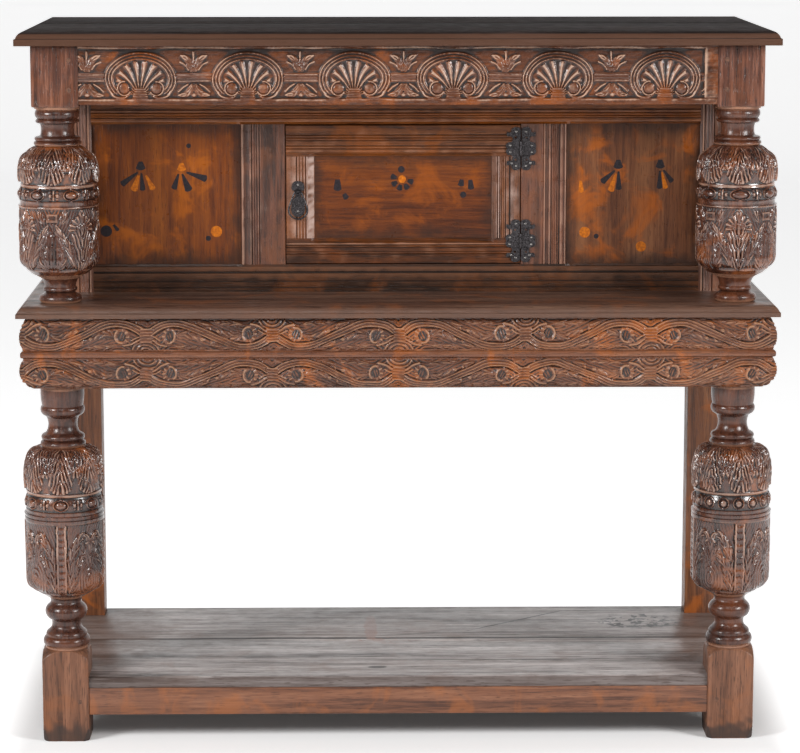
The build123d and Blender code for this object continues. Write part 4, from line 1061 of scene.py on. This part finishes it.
# wood: grain axis, seed, dark, middle and light tones, and what differs from oakLook
carvedWoods = {
    "oakCarved": {"seed": 1.0, "tones": ((54, 28, 15), (92, 51, 30), (116, 67, 39)), "warm": (148, 76, 22),
                  "warmShare": 0.6, "rubbed": (202, 166, 142), "rubbedAndHighlightShare": 0.7, "grime": (30, 17, 12),
                  "gloss": 0.24},
    "oakCushion": {"seed": 2.0, "tones": ((60, 32, 20), (103, 61, 40), (130, 82, 54)), "warm": (172, 92, 28),
                   "warmShare": 0.6, "rubbed": (180, 136, 104), "rubbedAndHighlightShare": 0.55, "gloss": 0.29},
    "oakBulb": {"axis": "Z", "seed": 3.0, "tones": ((38, 19, 13), (78, 43, 30), (110, 66, 46)),
                "warm": (166, 90, 34), "warmShare": 0.42, "rubbed": (192, 154, 132), "rubbedAndHighlightShare": 0.5,
                "grime": (26, 15, 12), "gloss": 0.18, "coat": 0.45, "coatGloss": 0.12},
    "oakTurned": {"axis": "Z", "seed": 4.0, "tones": ((44, 24, 18), (72, 41, 30), (98, 60, 44)),
                  "warm": (118, 62, 28), "gloss": 0.27, "coat": 0.2, "coatGloss": 0.16, "specular": 0.36},
    "oakBlock": {"axis": "Z", "seed": 4.6, "tones": ((36, 18, 12), (86, 48, 33), (138, 92, 72)),
                 "warm": (130, 72, 36), "warmShare": 0.25, "gloss": 0.34, "specular": 0.45, "bump": 0.9},
    "oakFoot": {"axis": "Z", "seed": 4.9, "tones": ((60, 36, 24), (108, 70, 50), (134, 90, 66)),
                "warm": (148, 86, 42), "grime": (58, 44, 38), "gloss": 0.4, "specular": 0.4},
    "oakHead": {"seed": 5.0, "tones": ((66, 35, 16), (122, 66, 29), (158, 92, 43)), "warm": (154, 82, 22),
                "warmShare": 0.6, "gloss": 0.36, "specular": 0.35},
    "oakSill": {"seed": 5.7, "tones": ((34, 20, 12), (58, 34, 20), (84, 50, 30)), "warm": (98, 52, 20),
                "warmShare": 0.6, "rubbed": (128, 84, 58), "rubbedAndHighlightShare": 0.4, "gloss": 0.34,
                "specular": 0.4},
    "oakFrameZ": {"axis": "Z", "seed": 6.0, "tones": ((54, 32, 23), (98, 60, 44), (128, 84, 64)),
                  "warm": (132, 76, 40), "rubbed": (182, 142, 120), "gloss": 0.32},
    "oakDoorTop": {"seed": 7.0, "tones": ((50, 27, 14), (94, 52, 26), (120, 70, 36)), "warm": (138, 72, 18),
                   "warmShare": 0.6, "gloss": 0.36, "specular": 0.35},
    "oakDoorBottom": {"seed": 7.6, "tones": ((44, 22, 9), (84, 43, 15), (108, 58, 22)), "warm": (112, 56, 16),
                      "warmShare": 0.6, "gloss": 0.36, "specular": 0.35},
    "oakDoorZ": {"axis": "Z", "seed": 8.0, "tones": ((58, 32, 18), (104, 62, 38), (136, 88, 60)),
                 "warm": (154, 86, 34), "rubbed": (196, 168, 156), "rubbedAndHighlightShare": 0.8, "gloss": 0.28},
}
panels = {
    "left": ((-504.5, -259.68), cabinet["openingZ"]),
    "right": ((281.21, 501.9), cabinet["openingZ"]),
    "door": ((-136.88, 156.91), (818.2, 954.2)),
}


def rimOf(panel):
    # middle and half size in metres; the depth is left wide open
    xs, zs = panels[panel]
    return ((sum(xs) / 2000, 0, sum(zs) / 2000), ((xs[1] - xs[0]) / 2000, 9, (zs[1] - zs[0]) / 2000))


def seamOf(node):
    # the back edge of the front board
    return max(vert.co.y for vert in nodes[node].data.vertices)


woods = {
    "boardTop": {"seed": 9.0, "tones": ((22, 14, 12), (42, 33, 31), (70, 57, 54)), "warm": (70, 46, 34),
                 "warmShare": 0.2, "gloss": 0.74, "specular": 0.15, "side": (92, 62, 46),
                 "grime": (14, 10, 9), "seam": seamOf("top_board_front")},
    # painted reflection: the top's grey tones stand for the pale room reflected in the board; its upright faces
    # keep the wood's brown
    "boardPot": {"seed": 10.0, "tones": ((60, 50, 46), (150, 141, 138), (200, 191, 188)),
                 "warm": (128, 106, 95), "gloss": 0.36, "side": (62, 43, 34), "grime": (34, 28, 26),
                 "seam": seamOf("pot_board_front"),
                 "marks": (((-0.53, 0.08), (0.13, 0.26), 0.0, (92, 70, 58), 0.6, 0),
                           ((0.54, 0.02), (0.06, 0.30), 0.0, (92, 70, 58), 0.6, 0),
                           ((0.0, -0.262), (1.6, 0.018), 0.0, (74, 54, 44), 0.8, 0),
                           ((0.429, 0.139), (0.075, 0.055), 0.0, (26, 20, 18), 1.0, 80.0),
                           ((-0.044, 0.096), (0.012, 0.10), 0.0, (150, 120, 110), 0.6, 0),
                           ((-0.020, 0.011), (0.05, 0.03), 0.0, (150, 112, 98), 0.4, 60.0),
                           ((-0.034, -0.169), (0.018, 0.009), 0.0, (30, 24, 22), 0.85, 0),
                           ((0.222, 0.154), (0.125, 0.003), 0.686, (30, 24, 22), 0.9, 0))},
    "boardLedge": {"seed": 11.0, "tones": ((42, 27, 20), (88, 62, 51), (118, 90, 74)), "gloss": 0.36,
                   "side": (92, 64, 49), "grime": (26, 18, 14), "seam": seamOf("middle_board_front")},
    "postZ": {"axis": "Z", "seed": 12.0, "tones": ((70, 40, 24), (112, 68, 42), (138, 90, 58)),
              "warm": (166, 88, 26), "warmShare": 0.7},
    "railX": {"seed": 13.0, "tones": ((70, 41, 28), (118, 75, 53), (144, 98, 72)), "warm": (158, 92, 44),
              "warmShare": 0.5},
    "railY": {"axis": "Y", "seed": 14.0, "tones": ((64, 40, 29), (110, 74, 54), (138, 98, 74))},
    "panelLeft": {"axis": "Z", "seed": 16.0, "tones": ((84, 38, 10), (118, 58, 14), (142, 76, 20)),
                  "warm": (180, 94, 6), "warmShare": 0.7, "gloss": 0.34, "specular": 0.3,
                  "edge": rimOf("left")},
    "panelRight": {"axis": "Z", "seed": 18.3, "tones": ((72, 38, 20), (106, 62, 36), (132, 84, 52)),
                   "warm": (182, 92, 10), "warmShare": 0.65, "gloss": 0.34, "specular": 0.3,
                   "edge": rimOf("right")},
    "panelDoor": {"seed": 15.0, "tones": ((68, 29, 7), (101, 48, 12), (126, 65, 19)), "warm": (152, 76, 9),
                  "warmShare": 0.6, "gloss": 0.34, "specular": 0.3, "edge": rimOf("door")},
    "panelEnd": {"axis": "Z", "seed": 19.0, "tones": ((70, 42, 28), (104, 66, 44), (130, 86, 58)),
                 "warm": (140, 80, 34)},
    "backZ": {"axis": "Z", "seed": 17.0, "tones": ((50, 34, 26), (84, 62, 48), (108, 82, 64))},
}
plain = {
    "boardTop": ("top_board_front", "top_board_rear"),
    "boardLedge": ("middle_board_front", "middle_board_rear"),
    "boardPot": ("pot_board_front", "pot_board_rear"),
    "postZ": ("rear_post_left", "rear_post_right"),
    "railX": ("bottom_rail_front", "bottom_rail_back", "middle_rail_front", "middle_rail_back",
              "top_rail_back", "door_stop"),
    "railY": ("bottom_rail_left", "bottom_rail_right", "middle_rail_left", "middle_rail_right",
              "top_rail_left", "top_rail_right", "end_sills"),
    "panelLeft": ("fixed_panel_left",),
    "panelRight": ("fixed_panel_right",),
    "panelDoor": ("door_panel",),
    "panelEnd": ("end_panels",),
    "backZ": ("back_boards",),
}
wood = {name: oak(name, look, True) for name, look in carvedWoods.items()}
wood.update({name: oak(name, look) for name, look in woods.items()})


# cupboard front and door: moulded stiles and rails
def reeds(start, end, count, depth=1.2, quirk=1.8, steps=5):
    # rounded reeds side by side between two deeper quirks
    points = [(start, 0.0), (start + 0.3, quirk), (start + 1.4, quirk)]
    width = (end - start - 2.8) / count
    for i in range(count):
        for t in np.linspace(0, 1, steps + 1):
            along = start + 1.4 + i * width + width * (0.04 + 0.92 * t)
            points.append((along, depth * (1 - math.sin(math.pi * t)) + 0.15))
    return points + [(end - 1.4, quirk), (end - 0.3, quirk), (end, 0.0)]


front = {
    "thick": {"carcase": 22.0, "door": 21.7},
    "x": (-580, -504.5, 501.9, 580),      # the end stiles' sides
    "door": (-183.88, 203.91),
    "doorZ": (776.0, 1006.0),
    "head": 1146,
    "slope": (2.9, 0.3),                  # an edge deeper than the first is cut only beside a panel
}
outerLeft, innerLeft, innerRight, outerRight = front["x"]
doorLeft, doorRight = front["door"]
doorLow, doorHigh = front["doorZ"]
stileLow, stileHigh = panels["door"][1]
opening = cabinet["openingZ"]
fixed, sight = (panels["left"][0], panels["right"][0]), (panels["door"][0],)
between, upright = (innerLeft, innerRight), (cabinet["ledgeZ"], front["head"])
# name: node, wood, x, z, where the slope is cut (None for all along), and the profile, which is
# (millimetres from the low side, depth) across the bar
bars = {
    "cupboardHead": ("cupboard_rail_top", "oakHead", between, (opening[1], front["head"]), fixed, [
        (0, 5.0), (3.6, 2.6), (4.2, 0.2), (7.5, 0.0), *reeds(9, 20, 2), (22.5, 0.0), (23.5, 1.7), (25.5, 1.7),
        (26.5, 0.3), (29, 0.0), (36, 0.0), (36.4, 1.6), (38.2, 1.6), (38.6, 0.0), (138.4, 0.0)]),
    "cupboardSill": ("cupboard_rail_bottom", "oakSill", between, (cabinet["ledgeZ"], opening[0]), fixed, [
        (0, 0.0), (5.5, 0.0), (6, 1.6), (7.6, 1.6), (8.2, 0.0), (16, 0.0), (16.5, 1.4), (18, 1.4),
        (18.6, 0.0), (30.5, 0.0), (31.2, 2.7), (33.4, 2.7), (34.2, 0.0), (41.5, 0.2), (42.4, 2.95), (45.8, 4.6)]),
    "endStileLeft": ("end_stile_left", "oakFrameZ", (outerLeft, innerLeft), upright, (opening,), [
        (0, 0.0), *reeds(51.5, 69.5, 3), (71.5, 0.0), (72.3, 2.95), (75.5, 5.0)]),
    "endStileRight": ("end_stile_right", "oakFrameZ", (innerRight, outerRight), upright, (opening,), [
        (0, 5.0), (3.2, 2.95), (4, 0.0), *reeds(6, 24, 3), (78.1, 0.0)]),
    "muntinLeft": ("muntin_left", "oakFrameZ", (-259.68, -185.28), opening, None, [
        (0, 5.0), (1.6, 3.0), (2.6, 0.3), (4.4, 0.0), (6.4, 0.4), (7.2, 2.0), (9.6, 2.2), (14, 1.5),
        (15.4, 0.2), (17.4, 0.0), *reeds(18, 33, 3, 1.3, 2.2), (35, 0.0), (73.2, 0.0), (74.4, 1.2)]),
    "muntinRight": ("muntin_right", "oakFrameZ", (204.91, 281.21), opening, None, [
        (0, 1.0), (1.0, 0.0), (36.5, 0.0), (37.2, 1.0), (38, -0.2), (40, -0.2), (40.8, 2.4), (45.8, 2.2),
        (46.6, 0.0), (48.4, 0.0), *reeds(49.4, 61, 3, 1.2, 2.0), (62.2, 2.6), (64.6, 2.6), (65.4, 0.0),
        (69.8, 0.0), (70.6, 1.6), (72.2, 1.8), (73, 0.6), (74.4, 1.0), (76.3, 5.0)]),
    "doorStileHandle": ("door_stile_handle", "oakDoorZ", (doorLeft, -136.88), (stileLow, stileHigh), None, [
        (0, 1.2), (0.9, 0.0), (15.5, 0.0), *reeds(16, 34, 3, 1.5, 2.0), (35.4, 0.0), (36, 0.6), (36.8, 1.0),
        (45.8, 5.8), (47, 6.4)]),
    "doorStileHinge": ("door_stile_hinge", "oakDoorZ", (156.91, doorRight), (stileLow, stileHigh), None, [
        (0, 6.4), (8.6, 0.6), (9.2, 2.0), (10.4, 2.0), (11, 0.0), *reeds(12, 24, 3, 1.4, 2.0), (26.2, 0.0),
        (28.4, -0.1), (29, 1.9), (30.4, 1.9), (31, 0.0), (46.1, 0.0), (47, 1.2)]),
    "doorRailTop": ("door_rail_top", "oakDoorTop", front["door"], (stileHigh, doorHigh), sight, [
        (0, 5.6), (4.4, 2.95), (5.2, 1.2), (6.2, 1.2), (7.2, 0.0), (10.2, 0.0), *reeds(11, 19, 1),
        (20.4, 0.0), (24, 0.0), *reeds(25, 37, 2), (38, 0.0), (50.8, 0.0), (51.8, 1.0)]),
    "doorRailBottom": ("door_rail_bottom", "oakDoorBottom", front["door"], (doorLow, stileLow), sight, [
        (0, 1.0), (0.8, 0.0), (13, 0.0), *reeds(14, 21, 1, 1.1, 1.6), (22, 0.0), (25, 0.0),
        *reeds(25.6, 32, 1, 1.1, 1.6), (33, 0.0), (34, 0.6), (36.5, 2.95), (42.2, 6.4)]),
}
paintedHighlightEdges = {"doorStileHandle": (36.6, 45.6)}      # a stretch of the profile painted pale: a painted highlight of a lamp on this chamfer


def mouldedBar(name, seed, node, material, xs, zs, slopes, profile):
    # the profile extruded along the bar and cut across often enough to follow the hand's unevenness
    isUpright = xs[1] - xs[0] < zs[1] - zs[0]
    across, (start, end) = (xs, zs) if isUpright else (zs, xs)
    y, thick = cabinet["frontY"], front["thick"][bodyOf[node]]
    points = [(across[0] + p, y + d) for p, d in profile] + [(across[1], y + thick), (across[0], y + thick)]
    wide, axis = (0, 2) if isUpright else (2, 0)
    bm = bmesh.new()
    verts = []
    for a, b in points:
        place = [0, b / 1000, 0]
        place[wide], place[axis] = a / 1000, start / 1000
        verts.append(bm.verts.new(place))
    made = bmesh.ops.extrude_face_region(bm, geom=[bm.faces.new(verts)])["geom"]
    length = (end - start) / 1000
    bmesh.ops.translate(bm, verts=vertsIn(made), vec=(0, 0, length) if isUpright else (length, 0, 0))
    runs = [e for e in bm.edges if abs(abs(e.verts[0].co[axis] - e.verts[1].co[axis]) - length) < 1e-5]
    bmesh.ops.subdivide_edges(bm, edges=runs, cuts=max(1, int(length / 0.006)), use_grid_fill=True)
    co = pointsOf(bm) * 1000
    depth, at, along = co[:, 1] - y, co[:, wide] - across[0], co[:, axis]
    shown = depth < thick - 0.5
    if slopes is not None:
        beside = np.zeros(len(co), bool)
        for low, high in slopes:
            beside |= (along > low - 0.5) & (along < high + 0.5)
        deepest, flat = front["slope"]
        depth = np.where(shown & ~beside & (depth > deepest), flat, depth)
    side = np.array(profile)
    fine = np.arange(0, across[1] - across[0] + 0.5, 0.5)
    cut = np.interp(fine, side[:, 0], side[:, 1])
    rise = np.interp(at, fine, blurred(cut[:, None] * np.ones((1, 3)), 4)[:, 1] - cut)
    x, z = co[:, 0], co[:, 2]
    wear = wearAndLightLevels["plain"] + wearAndLightLevels["perMillimetre"] * rise + 0.07 * ripple(x, z, 30, seed)
    wear = np.clip(wear, 0.05, 0.98)
    if name in paintedHighlightEdges:
        low, high = paintedHighlightEdges[name]
        # painted highlight along the chamfer
        paleShare = smoothStep(low - 1, low, at) * smoothStep(high + 1, high, at)
        wear = wear + (0.86 + 0.3 * ripple(x * 3, z, 12, seed + 7) - wear) * paleShare
    worn = ripple(x * 1.3, z * 1.3, 46, seed + 60) * 0.18
    co[:, 1] = np.where(shown, y + depth + np.maximum(0.0, worn), co[:, 1])
    placeAt(bm, co)
    keep(name, bm, node, wood[material], np.where(shown, wear, 0.4))


makeArchRail(wood["oakCarved"])
say("carved top rail")
for level, cushion in cushions.items():
    for place, seed in (("front", 40), ("left", 50), ("right", 60)):
        makeCushion(level, place, wood["oakCushion"], seed + cushion["seed"])
say("frieze cushions")
for node, settings in columns.items():
    makeColumn(node, settings)
say("columns")
for seed, (name, bar) in enumerate(bars.items(), 1):
    mouldedBar(name, seed, *bar)
say("cupboard front and door")
for kind, names in plain.items():
    for node in names:
        if "panel" in node:
            dress(node, wood[kind])
        else:
            wornCopy(node, wood[kind])
say("boards, rails and posts")


# inlay, pegs and iron: two colours, scale of the clouds, roughness, metal, bump and specular
finishes = {
    "bogOak": ((18, 12, 16), (42, 34, 39), 240, 0.42, 0.0, 0.2, 0.3),
    "paleInlay": ((210, 118, 18), (164, 82, 10), 200, 0.4, 0.0, 0.2, 0.3),
    "ironDark": ((38, 35, 36), (84, 80, 82), 420, 0.32, 0.8, 0.6),
    "nailHead": ((110, 106, 104), (160, 156, 152), 500, 0.34, 0.85, 0.3),
    "pegOak": ((72, 45, 32), (106, 70, 50), 300, 0.5),
}
dressed = {
    "bogOak": ("inlay_dark_fixed", "inlay_dark_door"),
    "paleInlay": ("inlay_light_fixed", "inlay_light_door"),
    "ironDark": ("hinge_leaves_frame", "hinge_leaves_door", "hinge_pins", "handle_plate", "handle_staple",
                 "handle_drop"),
    "nailHead": ("nails_frame", "nails_door"),
}
finish = {name: plainMaterial(name, *settings) for name, settings in finishes.items()}
for kind, names in dressed.items():
    for node in names:
        dress(node, finish[kind])

# trenail heads a little proud of the wood; those behind the frieze are left out
pegs = {"radius": 4.1, "taper": 0.93, "proud": 0.4, "sunk": 5.0, "inset": 15.0, "backX": 534.0, "seed": 81,
        "front": (67.5, 1074.75, 1122.25), "back": (67.5, 657.5, 692.5, 1074.75, 1122.25),
        "sideY": (-171.0, 213.0)}


def makePegs(material):
    s = pegs
    spots = []
    for hand in (-1, 1):
        frontX = cabinet["innerX"] + s["inset"]
        spots += [((hand * frontX, cabinet["faceY"], z), (0, -1, 0)) for z in s["front"]]
        spots += [((hand * s["backX"], cabinet["postBackY"], z), (0, 1, 0)) for z in s["back"]]
        spots += [((hand * cabinet["outerX"], y, z), (hand, 0, 0)) for z in s["front"] for y in s["sideY"]]
    whole = bmesh.new()
    rng = np.random.default_rng(s["seed"])
    for place, outward in spots:
        turn = Vector((0, 0, 1)).rotation_difference(Vector(outward)).to_matrix().to_4x4()
        middle = Vector(place) + Vector(outward) * (s["proud"] - s["sunk"]) / 2
        radius = s["radius"] * rng.uniform(0.92, 1.06)
        made = bmesh.ops.create_cone(whole, cap_ends=True, segments=14, radius1=radius,
                                     radius2=radius * s["taper"], depth=s["proud"] + s["sunk"])["verts"]
        bmesh.ops.scale(whole, verts=made, vec=(rng.uniform(0.94, 1.06), 1, 1))
        bmesh.ops.transform(whole, matrix=turn, verts=made)
        bmesh.ops.translate(whole, verts=made, vec=middle)
    bmesh.ops.scale(whole, verts=whole.verts, vec=(0.001, 0.001, 0.001))
    keep("pegHeads", whole, "pegs", material)


makePegs(finish["pegOak"])
say("inlay and iron")
